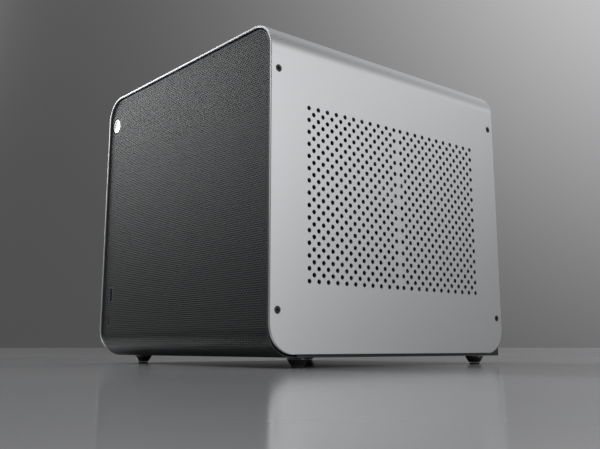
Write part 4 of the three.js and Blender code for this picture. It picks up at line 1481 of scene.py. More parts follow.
    def build(self) -> None:
        """Make the sheet in bands, its fold, its frame and its filter."""
        keep = self.lattice()
        border = self.border_of(keep)
        for number in range(self.bands):
            replaced = ("front_mesh_panel",) if number == 0 else ()
            mesh = self.band(number, keep, border)
            hang(
                f"front_mesh_{number + 1}", mesh, [self.finish],
                Riding("front_panel", replaced, "mesh_black"), 40,
            )
        hang("front_mesh_fold", self.fold(), [self.finish], Riding("front_panel", (), "mesh_black"))
        self.frame_piece()
        self.filter_piece()


def outward(mesh: bpy.types.Mesh) -> bpy.types.Mesh:
    """Turn a closed mesh's faces to the outside."""
    shape = bmesh.new()
    shape.from_mesh(mesh)
    bmesh.ops.recalc_face_normals(shape, faces=shape.faces)
    shape.to_mesh(mesh)
    shape.free()
    return mesh


@dataclass
class PowerSwitch:
    """The round switch: a dark ring and barrel, and a bright cap with a dished face."""

    ring: float = 8.7
    lip: float = 0.5
    well_depth: float = 5.4
    barrel_gap: float = 1.4
    threads: int = 6
    thread_pitch: float = 1.2

    def build(self) -> None:
        """Make the body on the chassis and the cap on its own body."""
        x, _, z = middle("power_button")
        low, high = span("power_switch_body")
        cap_low, cap_high = span("power_button")
        cap = (cap_high[0] - cap_low[0]) / 2
        front, back = low[1], high[1]
        well = front + self.well_depth
        wall = FRONT_WALL - 0.4
        f = Former()
        profile = [
            (0, well), (cap + 0.35, well), (cap + 0.35, front + self.lip), (cap + 0.6, front),
            (self.ring - self.lip, front),
        ]
        barrel = self.ring - self.barrel_gap
        profile += [(self.ring, front + self.lip), (self.ring, wall), (barrel, wall)]
        for k in range(self.threads):
            y = wall + 1.5 + k * self.thread_pitch
            profile += [(barrel, y), (barrel - 0.5, y + self.thread_pitch / 2)]
        profile += [(barrel, back - 1.5), (barrel - 0.8, back - 0.5), (0, back - 0.5)]
        f.lathe(Axis.Y, (x, z), profile, 40)
        pins = Former()
        for side in (-1, 1):
            pins.block((side * 2.5 - 0.9, back - 1, -0.4), (side * 2.5 + 0.9, back, 0.4), 0.1)
        pins.moved(Matrix.Translation((x, 0, z)))
        mesh = joined([f.mesh("switch"), pins.mesh("pins")], [0, 1])
        hang(
            "switch_ring", mesh, [RING_BLACK, BRIGHT_METAL],
            Riding("chassis", ("power_switch_body",), "black_plastic"),
        )
        front, back = cap_low[1], cap_high[1]
        profile = [
            (0, front + 0.35), (cap * 0.5, front + 0.28), (cap - 1.0, front + 0.08), (cap - 0.5, front)
        ]
        profile += [
            (cap - 0.12, front + 0.1), (cap, front + 0.4), (cap, back - 0.1), (cap - 0.2, back), (0, back)
        ]
        face = Former().lathe(Axis.Y, (x, z), profile, 44)
        riding = Riding("power_button", ("power_button",), "button_metal")
        hang("power_cap", face.mesh("cap"), [BUTTON_METAL], riding)


@dataclass
class FrontSockets:
    """The two sockets in the front and the small board that carries them."""

    wall: float = 0.4
    mouth_depth: float = 9.0
    screw_x: float = -116.0
    screw_heights: Point = (35.0, 80.0)

    def socket(self, node: str, blade: float, colour: Finish, contacts: int, riding: Riding) -> None:
        """One socket shell with its tongue and contact strips.

        Args:
            node: The frame node it stands for.
            blade: The tongue's thickness.
            colour: The tongue's finish.
            contacts: How many contact strips it has.
            riding: What it hangs on.
        """
        low, high = span(node)
        f = Former()
        radius = 1.5 if high[0] - low[0] < 4 else 0.5
        outer = rectangle(low[0], high[0], low[2], high[2], radius, 5)
        inner = rectangle(
            low[0] + self.wall, high[0] - self.wall, low[2] + self.wall, high[2] - self.wall,
            max(radius - self.wall, 0.15), 5,
        )
        f.plate(Axis.Y, [outer, inner], low[1], low[1] + self.mouth_depth)
        f.plate(Axis.Y, [outer], low[1] + self.mouth_depth, high[1])
        x = (low[0] + high[0]) / 2
        f.block(
            (x - blade / 2, low[1] + 1.5, low[2] + 1.5), (x + blade / 2, low[1] + 9.4, high[2] - 1.5), 0.15,
            1,
        )
        strip = Former().block(
            (x + blade / 2 - 0.05, low[1] + 2, -0.35), (x + blade / 2 + 0.12, low[1] + 8.5, 0.35), 0.04
        )
        step = (high[2] - low[2] - 4.4) / (contacts - 1)
        strips = repeated_along(
            f"{node}_contacts", strip.mesh("strip"), contacts, (0, 0, step), GOLD_CONTACT
        )
        shifted(strips, (0, 0, low[2] + 2.2))
        mesh = joined([f.mesh(node), strips], [None, 2])
        hang(f"{node}_shell", mesh, [BRIGHT_METAL, colour, GOLD_CONTACT], riding)

    def board(self) -> None:
        """The carrier board with its two screws."""
        low, high = span("front_socket_board")
        back = high[1]
        f = Former()
        f.block((low[0], back - 1.6, low[2]), (high[0], back, high[2]), 0.1, 0)
        for z in self.screw_heights:
            f.lathe(
                Axis.Y, (self.screw_x, z), [(0, low[1]), (2.2, low[1]), (2.2, back - 1.5), (0, back - 1.5)],
                6, 1,
            )
        hang(
            "socket_board", f.mesh("board"), [CIRCUIT, BRIGHT_METAL],
            Riding("chassis", ("front_socket_board",), "circuit_board"),
        )

    def build(self) -> None:
        """Make both sockets and the board."""
        self.socket("usb_a_socket", 1.9, SOCKET_BLUE, 9, Riding("chassis", ("usb_a_socket",), "usb_blue"))
        self.socket(
            "usb_c_socket", 0.7, BLACK_PLASTIC, 12, Riding("chassis", ("usb_c_socket",), "zinc_plate")
        )
        self.board()


# ---------- the feet ----------
@dataclass
class Feet:
    """Four gloss feet, tapered towards a rubber pad, each with a bright ring under the floor."""

    top: float = 8.6
    bottom: float = 5.6
    corners: tuple[str, ...] = ("front_left", "front_right", "rear_left", "rear_right")

    def build(self) -> None:
        """Make each foot and its pad."""
        for corner in self.corners:
            low, high = span(f"foot_{corner}")
            x, y = (low[0] + high[0]) / 2, (low[1] + high[1]) / 2
            base, top = low[2], high[2]
            profile = [
                (0, base + 0.2), (self.bottom - 1.2, base + 0.2), (self.bottom - 0.7, base),
                (self.bottom - 0.1, base + 0.25),
            ]
            for k in range(7):
                t = k / 6
                radius = self.bottom + (self.top - 0.9 - self.bottom) * t**0.8
                profile.append((radius, base + 0.6 + (top - base - 2.5) * t))
            profile += [(self.top - 0.6, top - 1.5), (self.top - 0.6, top), (0, top)]
            f = Former().lathe(Axis.Z, (x, y), profile, 48, 0)
            ring = [
                (self.top - 0.7, top - 1.35), (self.top - 0.15, top - 1.45), (self.top, top - 1.2),
                (self.top, top - 0.5),
            ]
            f.lathe(
                Axis.Z, (x, y), ring + [(self.top - 0.15, top - 0.3), (self.top - 0.7, top - 0.3)], 48, 1,
                ring=True,
            )
            hang(
                f"foot_body_{corner}", f.mesh("foot"), [FOOT_BLACK, FOOT_RING],
                Riding("chassis", (f"foot_{corner}",), "foot_black"),
            )
            low, high = span(f"foot_pad_{corner}")
            r = (high[0] - low[0]) / 2
            pad = [
                (0, low[2] + 0.15), (r * 0.35, low[2]), (r - 0.25, low[2]), (r, low[2] + 0.25),
                (r, high[2] - 0.15), (r - 0.15, high[2]), (0, high[2]),
            ]
            f = Former().lathe(Axis.Z, (x, y), pad, 32)
            hang(
                f"foot_tread_{corner}", f.mesh("pad"), [PAD_RUBBER],
                Riding("chassis", (f"foot_pad_{corner}",), "pad_rubber"),
            )


# ---------- fans ----------
BACKWARDS = Matrix.Rotation(-math.pi / 2, 4, "X")
LEFTWARDS = Matrix.Rotation(-math.pi / 2, 4, "Y")


@dataclass
class Fan:
    """An axial fan that blows along its own +Z: a flanged frame and a rotor with swept blades."""

    name: str
    body: str
    seat: Point3
    size: float
    bore: float
    hub: float
    blades: int
    turn: Matrix | None = BACKWARDS
    depth: float = 25.0
    hole: float = 0.0
    flange: float = 4.0
    finish: Finish = GREY_PLASTIC

    def blade(self) -> bpy.types.Mesh:
        """One blade, lofted from its root to its tip: less pitch and more sweep outwards."""
        stations, across = 7, 8
        rings: list[np.ndarray] = []
        low, high = 4.4, self.depth - 1.6
        for i in range(stations):
            t = i / (stations - 1)
            radius = self.hub - 0.6 + t * (self.bore - 1.1 - self.hub + 0.6)
            width = TAU / self.blades * (0.66 + 0.16 * t)
            rise = (high - low - 1.4) * (0.96 - 0.3 * t)
            upper: list[Point3] = []
            under: list[Point3] = []
            for k in range(across):
                s = k / (across - 1)
                a = (s - 0.5) * width + 0.34 * t**1.6
                z = (low + high) / 2 + (s - 0.5) * rise + 1.1 * math.sin(math.pi * s)
                thick = (0.85 - 0.35 * t) * (0.35 + 0.65 * math.sin(math.pi * min(max(s, 0.02), 0.98)))
                x, y = radius * math.cos(a), radius * math.sin(a)
                upper.append((x, y, z + thick))
                under.append((x, y, z - thick))
            rings.append(np.array(upper + under[::-1]))
        return Former().loft(rings).mesh("blade")

    def rotor(self) -> None:
        """The hub with its domed cap, and the blades set round it."""
        top = self.depth - 0.8
        profile = [
            (0, 3.7), (self.hub - 0.8, 3.7), (self.hub, 4.5), (self.hub, top - 1.8),
            (self.hub - 0.5, top - 0.7),
        ]
        profile += [
            (self.hub - 1.8, top - 0.1), (self.hub * 0.62, top), (self.hub * 0.6, top - 0.5), (0, top - 0.5)
        ]
        hub = Former().lathe(Axis.Z, (0, 0), profile, 40).mesh("hub")
        blades = repeated_round(f"{self.name}_blades", self.blade(), self.blades, self.finish)
        mesh = shifted(joined([hub, blades], [0, 0]), self.seat, self.turn)
        hang(
            f"{self.name}_blades", mesh, [self.finish],
            Riding(self.body, (f"{self.name}_rotor",), "grey_plastic"), 40,
        )

    def frame_piece(self) -> None:
        """Two square flanges on a round throat, a motor seat on four struts and a screw boss per corner."""
        half = self.size / 2
        outline = rectangle(-half, half, -half, half, 5.0, 5)
        corners = four_corners((0, 0), self.hole)
        openings = [circle((0, 0), self.bore, 64), *[circle(at, 2.2, 12) for at in corners]]
        f = Former()
        f.plate(Axis.Z, [outline, *openings], 0.0, self.flange)
        f.plate(Axis.Z, [outline, *openings], self.depth - self.flange, self.depth)
        wall = min(half - 0.3, self.bore + 2.2)
        low, high = self.flange - 0.05, self.depth - self.flange + 0.05
        f.lathe(
            Axis.Z, (0, 0), [(self.bore, low), (wall, low), (wall, high), (self.bore, high)], 64, ring=True
        )
        for at in corners:
            f.lathe(Axis.Z, at, [(2.2, low), (3.4, low), (3.4, high), (2.2, high)], 12, ring=True)
        f.lathe(
            Axis.Z, (0, 0),
            [
                (0, 0.3), (self.hub - 0.6, 0.3), (self.hub, 0.9), (self.hub, 2.4), (self.hub - 0.8, 3.0),
                (0, 3.0),
            ],
            32,
        )
        strut = Former().block((self.hub - 1, -1.6, 0.3), (self.bore + 1, 1.6, 2.7), 0.5).mesh("strut")
        struts = repeated_round(f"{self.name}_struts", strut, 4, BLACK_PLASTIC, math.pi / 4)
        mesh = shifted(joined([f.mesh("frame"), struts], [0, 0]), self.seat, self.turn)
        hang(
            f"{self.name}_housing", mesh, [BLACK_PLASTIC],
            Riding("chassis", (f"{self.name}_frame",), "black_plastic"),
        )

    def build(self) -> None:
        """Make the rotor, and the frame where the fan has its own."""
        self.rotor()
        if self.size:
            self.frame_piece()


@dataclass
class RearGuard:
    """A finger guard of welded wire, and the screws that hold it with the fan."""

    centre: Point = (8.0, 212.0)
    wire: float = 0.8
    stand_off: float = 1.2
    eye_gap: float = 3.2
    rings: tuple[float, ...] = (13.0, 20.6, 28.2, 35.8, 43.2)
    eye: float = 41.25

    def build(self) -> None:
        """Make the wires, then the four screws."""
        y = REAR_FACE + self.stand_off
        f = Former()

        def section(radius: float) -> Loop:
            """The wire's section at a radius."""
            return circle((radius, y), self.wire, 8)

        for radius in self.rings:
            f.lathe(Axis.Y, self.centre, section(radius), 56, ring=True)
        corners = four_corners(self.centre, self.eye)
        for u, v in corners:
            f.lathe(Axis.Y, (u, v), section(2.6), 18, ring=True)
        for (u, v), (p, q) in ((corners[0], corners[3]), (corners[1], corners[2])):
            ends = np.array([(u, y, v), (p, y, q)])
            ahead = (ends[1] - ends[0]) / np.linalg.norm(ends[1] - ends[0])
            line = [ends[0] + ahead * self.eye_gap, ends.mean(0), ends[1] - ahead * self.eye_gap]
            f.tube([tuple(point) for point in line], self.wire, 8)
        hang(
            "rear_guard_wires", f.mesh("guard"), [BRIGHT_METAL],
            Riding("chassis", ("rear_fan_guard",), "bright_metal"),
        )
        spots = [(u, REAR_FACE, v) for u, v in corners]
        hang(
            "rear_fan_screws", repeated_at("fan_screws", pan_screw(), spots, SCREW_BLACK), [SCREW_BLACK],
            Riding("chassis"),
        )


def pan_screw(radius: float = 2.9, height: float = 2.6) -> bpy.types.Mesh:
    """A cross-slotted pan-head screw that stands on the plane Y = 0 and faces +Y."""
    arm, half = radius * 0.62, 0.35
    limb = [(arm, -half), (arm, half), (half, half)]
    cross: Loop = []
    for _ in range(4):
        cross += limb
        limb = [(-v, u) for u, v in limb]
    f = Former()
    f.lathe(
        Axis.Y, (0, 0),
        [(0, 0), (radius, 0), (radius, height * 0.5), (radius * 0.97, height - 1.0), (0, height - 1.0)], 18,
    )
    f.plate(Axis.Y, [circle((0, 0), radius * 0.88, 18), cross], height - 1.1, height)
    return f.mesh("screw_head")


# ---------- the board and what stands on it ----------
class PortKind(Enum):
    """What a rear connector takes."""

    VIDEO = "video"
    NETWORK = "network"
    SERIAL = "serial"
    DISPLAY = "display"
    AUDIO = "audio"


@dataclass
class RearPorts:
    """The rear connectors in their metal shells, with tongues, contacts and coloured jacks."""

    back: float = REAR_FACE
    mouth: float = 8.0
    inner_face: float = 114.0
    margin: float = 1.2
    ports: tuple[tuple[PortKind, float, float, float, float], ...] = (
        (PortKind.VIDEO, -74, 111.2, 17, 33),
        (PortKind.NETWORK, -52, 111.2, 16, 16),
        (PortKind.SERIAL, -52, 130, 16, 13),
        (PortKind.SERIAL, -31, 111.2, 14.5, 32),
        (PortKind.SERIAL, -11, 111.2, 14.5, 32),
        (PortKind.DISPLAY, 9, 111.2, 16.5, 29),
        (PortKind.AUDIO, 32, 111.2, 12, 34),
    )

    def mouths(self, kind: PortKind, x: float, z: float, w: float, h: float) -> list[Loop]:
        """The open outlines in one connector's face."""
        m = self.margin
        if kind is PortKind.AUDIO:
            return [circle((x + w / 2, z + h * (k + 0.5) / 3), 3.1, 24) for k in range(3)]
        if kind is PortKind.VIDEO:
            return [
                [(x + 3, z + 4), (x + w - 2.5, z + 2.5), (x + w - 2.5, z + h - 2.5), (x + 3, z + h - 4)]
            ]
        rows = {PortKind.NETWORK: 1, PortKind.DISPLAY: 2}.get(kind, max(1, round(h / 8)))
        step = h / rows
        return [
            rectangle(x + m, x + w - m, z + k * step + 0.9, z + (k + 1) * step - 0.9, 0.5, 3)
            for k in range(rows)
        ]

    def connector(self, f: Former, kind: PortKind, x: float, z: float, w: float, h: float) -> None:
        """Add one connector: its shell in slot 0, its inside in 1, contacts in 2, colours from 3."""
        back, base = self.back, self.back - self.mouth
        outline = rectangle(x, x + w, z, z + h, 0.6, 3)
        mouths = self.mouths(kind, x, z, w, h)
        f.plate(Axis.Y, [outline, *mouths], base, back, 0)
        f.plate(Axis.Y, [outline], self.inner_face, base, 0)
        for k, mouth in enumerate(mouths):
            u, v = np.mean(mouth, axis=0)
            if kind is PortKind.AUDIO:
                slot = 3 + k
                f.lathe(
                    Axis.Y, (u, v), [(1.8, back), (3.05, back), (3.05, base), (1.8, base)], 24, slot,
                    ring=True,
                )
            elif kind is PortKind.NETWORK:
                for n in range(8):
                    f.block(
                        (u - 4.4 + n * 1.25, base, v + 1), (u - 4.0 + n * 1.25, back - 1.5, v + 4.5), 0.05,
                        2,
                    )
            elif kind is PortKind.VIDEO:
                f.prism(
                    Axis.Y, [(p * 0.9 + u * 0.1, q * 0.9 + v * 0.1) for p, q in mouth], base, back - 2.2, 6
                )
                for n in range(15):
                    f.lathe(
                        Axis.Y, (u - 2.6 + 2.6 * (n // 5), v - 8 + 4 * (n % 5)),
                        [(0, back - 2.3), (0.6, back - 2.3), (0.6, back - 2.0), (0, back - 2.0)], 8, 1,
                    )
            else:
                tall = 1.0 if kind is PortKind.SERIAL else 1.8
                f.block(
                    (u - w / 2 + 2.6, base, v - tall), (u + w / 2 - 2.6, back - 0.9, v + tall * 0.3), 0.1,
                    6 if kind is PortKind.SERIAL else 1,
                )
                for n in range(4):
                    f.block(
                        (u - 4.2 + n * 2.5, base, v - tall - 0.12),
                        (u - 3.2 + n * 2.5, back - 1.6, v - tall + 0.02), 0.02, 2,
                    )

    def build(self) -> None:
        """Make every connector and the carrier behind them."""
        low = span("rear_ports")[0]
        f = Former()
        f.block((low[0], 112, low[2] + 0.2), (46, 118, 140), 0.4, 1)
        for port in self.ports:
            self.connector(f, *port)
        colours = [PORT_COLOURS["pink"], PORT_COLOURS["green"], PORT_COLOURS["sky"], USB_BLUE]
        finishes = [ZINC, BLACK_PLASTIC, GOLD_CONTACT, *colours]
        hang(
            "rear_connectors", f.mesh("rear_ports"), finishes,
            Riding("chassis", ("rear_ports",), "zinc_plate"),
        )


@dataclass
class BoardParts:
    """What is soldered to the main board: capacitors, chokes, coolers, latches and a coin cell."""

    top: float = 110.5
    board_middle: Point = (-11.0, 51.5)
    screw_reach: float = 77.5
    cans: tuple[Point, ...] = (
        (-28, 18), (-28, 28), (-28, 38), (-28, 88), (44, 84), (54, 84), (52, 30), (52, 56), (-50, 12),
        (-60, 12), (60, 96), (-44, 90),
    )
    chokes: tuple[Point, ...] = ((-14, 88), (-2, 88), (10, 88), (22, 88), (34, 88), (44, 40), (44, 52))

    def build(self) -> None:
        """Make each kind once, repeat it, and hang all as one piece."""
        z = self.top
        can = Former().lathe(
            Axis.Z, (0, 0),
            [
                (0, 0), (3.0, 0), (3.15, 0.8), (2.85, 1.4), (3.15, 2.0), (3.15, 8.4), (2.8, 8.8), (0, 8.6)
            ], 20,
        ).mesh("can")
        choke = Former().block((-4.6, -4.6, 0), (4.6, 4.6, 6.6), 0.9).mesh("choke")
        cans = repeated_at("capacitors", can, [(x, y, z) for x, y in self.cans], BRIGHT_METAL)
        chokes = repeated_at("chokes", choke, [(x, y, z) for x, y in self.chokes], GREY_PLASTIC)
        fin = Former().block((-3, 98, z + 4), (58, 98.9, z + 19), 0.2).mesh("fin")
        fins = repeated_along("regulator_fins", fin, 5, (0, 2.6, 0), FIN_METAL)
        base = Former().block((-3, 97, z + 0.3), (58, 110.5, z + 5), 0.5).mesh("base")
        chip_fin = Former().block((-69, 41, z + 7.5), (-36, 42, z + 13), 0.15).mesh("fin")
        chip_fins = repeated_along("chip_fins", chip_fin, 9, (0, 4.0, 0), FIN_METAL)
        small = Former()
        small.lathe(
            Axis.Z, (-58, 100), [(0, z), (10.2, z), (10.2, z + 3.2), (9.6, z + 3.6), (0, z + 3.6)], 32, 0
        )
        for x in (-78.5, 66.0):
            for y in (-23.0, -13.0):
                small.block((x, y - 2.6, z), (x + 2.4, y + 2.6, z + 14), 0.5, 3)
        for spot in four_corners(self.board_middle, self.screw_reach):
            small.lathe(
                Axis.Z, spot, [(0, z), (3.2, z), (3.2, z + 1.4), (2.0, z + 2.2), (0, z + 2.2)], 18, 0
            )
        parts = [cans, chokes, fins, base, chip_fins, small.mesh("small")]
        mesh = joined(parts, [0, 1, 2, 2, 2, None])
        hang(
            "board_components", mesh, [BRIGHT_METAL, GREY_PLASTIC, FIN_METAL, BLACK_PLASTIC],
            Riding("chassis"),
        )


@dataclass
class ProcessorCooler:
    """A tower cooler: a plated foot, four bent heat pipes and a stack of thin fins."""

    pitch: float = 2.7
    fin: float = 0.5
    pipe: float = 3.0
    stack_start: float = 138.0
    middle_y: float = 45.0

    def build(self) -> None:
        """Make the foot and pipes, then repeat the fin up the stack."""
        low, high = span("cpu_heatsink")
        x, y, start = (low[0] + high[0]) / 2, self.middle_y, self.stack_start
        f = Former()
        f.block((x - 20, y - 20, low[2]), (x + 20, y + 20, low[2] + 4), 0.6)
        f.block((x - 16, y - 17, low[2] + 3.9), (x + 16, y + 17, low[2] + 11), 1.0)
        for k, v in enumerate((-9.0, -3.0, 3.0, 9.0)):
            for side in (-1, 1):
                reach = 15 + 9 * (k % 2)
                near, out = x + side * (reach - 1), x + side * (reach + 1)
                route = [
                    (x, y + v, low[2] + 6), (x + side * 10, y + v, low[2] + 6),
                    (near, y + v * 1.1, low[2] + 9),
                ]
                route.append((out, y + v * 1.2 + 3, low[2] + 16))
                route += [(out, y + v * 1.2 + 4, high[2] - 20), (out, y + v * 1.2 + 4, high[2])]
                f.tube(smooth(route, 40), self.pipe, 12, 1)
        count = int((high[2] - 4 - start) / self.pitch) + 1
        outline = [
            (low[0], 27), (low[0] + 8, 26), (x - 10, 26), (x, 29), (x + 10, 26), (high[0] - 8, 26),
            (high[0], 27),
        ]
        outline += [(high[0], 71), (high[0] - 8, 72), (low[0] + 8, 72), (low[0], 71)]
        fin = Former().prism(Axis.Z, outline, start, start + self.fin).mesh("fin")
        fins = repeated_along("cooler_fins", fin, count, (0, 0, self.pitch), FIN_METAL)
        mesh = joined([f.mesh("cooler"), fins], [None, 2])
        hang(
            "cooler_stack", mesh, [BRIGHT_METAL, COPPER, FIN_METAL],
            Riding("chassis", ("cpu_heatsink",), "cooler_fins"),
        )


def smooth(points: Sequence[Point3], count: int) -> list[Point3]:
    """Run a centripetal curve through points.

    Args:
        points: What it passes through.
        count: How many evenly spaced points to give.

    Returns:
        The points along it.
    """
    p = np.asarray(points, float)
    p = np.vstack([2 * p[0] - p[1], p, 2 * p[-1] - p[-2]])
    line: list[np.ndarray] = []
    for a, b, c, d in zip(p, p[1:], p[2:], p[3:]):
        t = np.cumsum(
            [0.0, *[max(np.linalg.norm(q - o), 1e-6) ** 0.5 for o, q in ((a, b), (b, c), (c, d))]]
        )
        for s in np.linspace(t[1], t[2], 16, endpoint=False):
            ab = (t[1] - s) / (t[1] - t[0]) * a + (s - t[0]) / (t[1] - t[0]) * b
            bc = (t[2] - s) / (t[2] - t[1]) * b + (s - t[1]) / (t[2] - t[1]) * c
            cd = (t[3] - s) / (t[3] - t[2]) * c + (s - t[2]) / (t[3] - t[2]) * d
            first = (t[2] - s) / (t[2] - t[0]) * ab + (s - t[0]) / (t[2] - t[0]) * bc
            second = (t[3] - s) / (t[3] - t[1]) * bc + (s - t[1]) / (t[3] - t[1]) * cd
            line.append((t[2] - s) / (t[2] - t[1]) * first + (s - t[1]) / (t[2] - t[1]) * second)
    line.append(p[-2])
    run = np.concatenate([[0.0], np.cumsum(np.linalg.norm(np.diff(line, axis=0), axis=1))])
    at = np.linspace(0, run[-1], count)
    flat = np.array(line)
    return [tuple(row) for row in np.stack([np.interp(at, run, flat[:, k]) for k in range(3)], 1)]


# ---------- the graphics card ----------
@dataclass
class GraphicsCard:
    """The card's cooler: a chamfered shroud with a round fan mouth over a row of fins."""

    wall: float = 2.0
    fan: Point = (52.0, 170.0)
    mouth: float = 45.6
    pitch: float = 2.5
    cut: float = 9.0
    inner_share: float = 0.965
    pipe_heights: tuple[float, ...] = (140.0, 156.0, 186.0, 202.0)

    def build(self) -> None:
        """Make the shroud, the fins behind it with their plate and pipes, and the fan's rotor."""
        low, high = span("graphics_cooler")
        left, right, cut = low[0], high[0], self.cut
        outer: Loop = [
            (low[1] + cut, low[2]), (high[1] - 2, low[2]), (high[1], low[2] + 2), (high[1], high[2] - 2),
            (high[1] - 2, high[2]),
        ]
        outer += [(low[1] + 26, high[2]), (low[1], high[2] - 14), (low[1], low[2] + cut)]
        centre = np.mean(outer, axis=0)
        inner = [tuple(centre + (np.array(p) - centre) * self.inner_share) for p in outer]
        f = Former()
        f.plate(Axis.X, [outer, circle(self.fan, self.mouth, 64)], left, left + self.wall)
        f.plate(Axis.X, [outer, inner], left + self.wall - 0.05, left + 24)
        rim = [
            (self.mouth - 0.2, left), (self.mouth + 2.6, left), (self.mouth + 2.6, left + 21),
            (self.mouth, left + 21), (self.mouth - 0.2, left + 3),
        ]
        f.lathe(Axis.X, self.fan, [(r, a + 0.02) for r, a in rim], 64, ring=True)
        f.lathe(
            Axis.X, self.fan, [(0, right - 13), (15, right - 13), (15, right - 10.5), (0, right - 10.5)], 28
        )
        for turn in range(4):
            a = turn * TAU / 4 + 0.5
            ends = [
                (right - 12, self.fan[0] + r * math.cos(a), self.fan[1] + r * math.sin(a))
                for r in (13, 30, 47)
            ]
            f.tube(ends, 1.6, 8)
        f.block((right - 3, low[1] + 1, low[2] + 1), (right, high[1] - 1, high[2] - 1), 0.4, 1)
        for z in self.pipe_heights:
            f.tube(
                [(right - 5, low[1] + 3, z), (right - 5, 50, z), (right - 5, high[1] - 3, z)], 2.6, 10, 2
            )
        fin = Former().block(
            (right - 10, low[1] + 4, low[2] + 3), (right - 2.8, low[1] + 4.6, high[2] - 3), 0.1
        ).mesh("fin")
        count = int((high[1] - low[1] - 8) / self.pitch)
        fins = repeated_along("card_fins", fin, count, (0, self.pitch, 0), FIN_METAL)
        mesh = joined([f.mesh("shroud"), fins], [None, 1])
        hang(
            "card_cooler", mesh, [GREY_PLASTIC, FIN_METAL, COPPER],
            Riding("chassis", ("graphics_cooler",), "grey_plastic"),
        )
        seat = (left + 20.0, *self.fan)
        Fan("graphics_fan", "graphics_fan", seat, 0, 45, 15, 9, LEFTWARDS, 20, finish=BLACK_PLASTIC).rotor()


# ---------- the power supply ----------
@dataclass
class PowerSupply:
    """What the power supply shows: its circuit, mains inlet, rocker and screws."""

    tilt: float = 0.16
    inlet_half: Point = (13.5, 10.0)
    rocker_seat: Point3 = (8.0, 138.9, 46.0)
    rocker_half: Point = (6.3, 9.5)
    screws: tuple[Point, ...] = ((-17.4, 24), (127.4, 30), (-17.4, 90), (127.4, 90))

    def circuit(self) -> None:
        """The board with its transformer, cooling plates and capacitors."""
        low, high = span("psu_circuit")
        top = high[2]
        f = Former()
        f.block((low[0], low[1], top - 1.6), high, 0.1, 0)
        f.block((44, 49, top - 33), (70, 72, top - 1.5), 1.0, 1)
        f.block((40, 45, top - 26), (74, 76, top - 8), 2.0, 2)
        for x in (22.0, 92.0):
            f.block((x, 20, top - 36), (x + 3, 100, top - 1.5), 0.4, 3)
            for k in range(9):
                f.block((x + 2.9, 24 + k * 9, top - 36), (x + 4, 27 + k * 9, top - 6), 0.2, 3)
        can = Former().lathe(
            Axis.Z, (0, 0), [(0, 0), (10.4, 0), (11, 0.8), (11, 28), (10.2, 29), (10.2, 29.6), (0, 29.6)],
            32,
        ).mesh("can")
        small = Former().lathe(
            Axis.Z, (0, 0), [(0, 8), (4.4, 8), (5, 8.6), (5, 28), (4.2, 29), (4.2, 29.6), (0, 29.6)], 20
        ).mesh("small")
        spots = [(108.0, y, top - 31) for y in (30, 42, 54, 66, 78, 90)]
        big_spots = [(2, y, top - 31) for y in (40, 66)]
        cans = [
            repeated_at("big_cans", can, big_spots, GREY_PLASTIC),
            repeated_at("cans", small, spots, GREY_PLASTIC),
        ]
        mesh = joined([f.mesh("circuit"), *cans], [None, 1, 1])
        tape = MouldedPlastic("coil_tape", colour=(0.62, 0.42, 0.05), roughness=0.4)
        hang(
            "psu_board", mesh, [CIRCUIT, GREY_PLASTIC, tape, FIN_METAL],
            Riding("chassis", ("psu_circuit",), "circuit_board"),
        )

    def inlet(self) -> None:
        """The mains inlet: a flange, a six-sided well and three flat pins."""
        low, high = span("psu_inlet")
        x, z = (low[0] + high[0]) / 2, (low[2] + high[2]) / 2
        w, h = self.inlet_half
        well: Loop = [
            (x - w + 1.8, z - h + 1.8), (x + w - 1.8, z - h + 1.8), (x + w - 1.8, z + 2.6),
            (x + w - 6.4, z + h - 1.8),
        ]
        well += [(x - w + 6.4, z + h - 1.8), (x - w + 1.8, z + 2.6)]
        body = rectangle(x - w, x + w, z - h, z + h, 1.5, 3)
        f = Former()
        floor, panel = REAR_FACE - 15, REAR_FACE - 1
        f.plate(Axis.Y, [rectangle(low[0], high[0], low[2], high[2], 2.0, 4), well], panel - 0.05, high[1])
        f.plate(Axis.Y, [body, well], floor, panel)
        f.plate(Axis.Y, [body], low[1], floor + 0.05)
        for u, lift in ((-7.0, -2.0), (0.0, 2.5), (7.0, -2.0)):
            f.block((x + u - 1, 123, z + lift - 2), (x + u + 1, 137, z + lift + 2), 0.5, 1)
        riding = Riding("chassis", ("psu_inlet",), "black_plastic")
        hang("mains_inlet", f.mesh("inlet"), [BLACK_PLASTIC, BRIGHT_METAL], riding)

    def rocker(self) -> None:
        """The rocker key, dished to either side of a ridge, with a raised bar and a raised ring as marks."""
        wide, half = self.rocker_half
        outline: Loop = [
            (-6, -half), (1.9, -half), (2.35, -half + 0.5), (1.8, -half * 0.55), (1.15, -0.8), (1.15, 0.8),
            (1.8, half * 0.55), (2.35, half - 0.5), (1.9, half), (-6, half),
        ]
        f = Former().prism(Axis.X, outline, -wide, wide)
        f.block((-0.4, 1.5, 3.4), (0.4, 2.05, 7.2), 0.1, 1)
        f.lathe(Axis.Y, (0, -5.2), [(1.2, 1.4), (1.9, 1.4), (1.9, 1.95), (1.2, 1.95)], 18, 1, ring=True)
        f.moved(Matrix.Translation(self.rocker_seat) @ Matrix.Rotation(self.tilt, 4, "X"))
        mark = MouldedPlastic("switch_mark", colour=(0.75, 0.75, 0.74))
        hang(
            "psu_rocker_key", f.mesh("rocker"), [BLACK_PLASTIC, mark],
            Riding("psu_switch", ("psu_rocker",), "black_plastic"),
        )

    def build(self) -> None:
        """Make every piece, with four screws in the rear panel."""
        self.circuit()
        self.inlet()
        self.rocker()
        spots = [(x, REAR_FACE, z) for x, z in self.screws]
        hang(
            "psu_screws", repeated_at("psu_screws", pan_screw(2.9, 2.2), spots, SCREW_BLACK), [SCREW_BLACK],
            Riding("chassis"),
        )


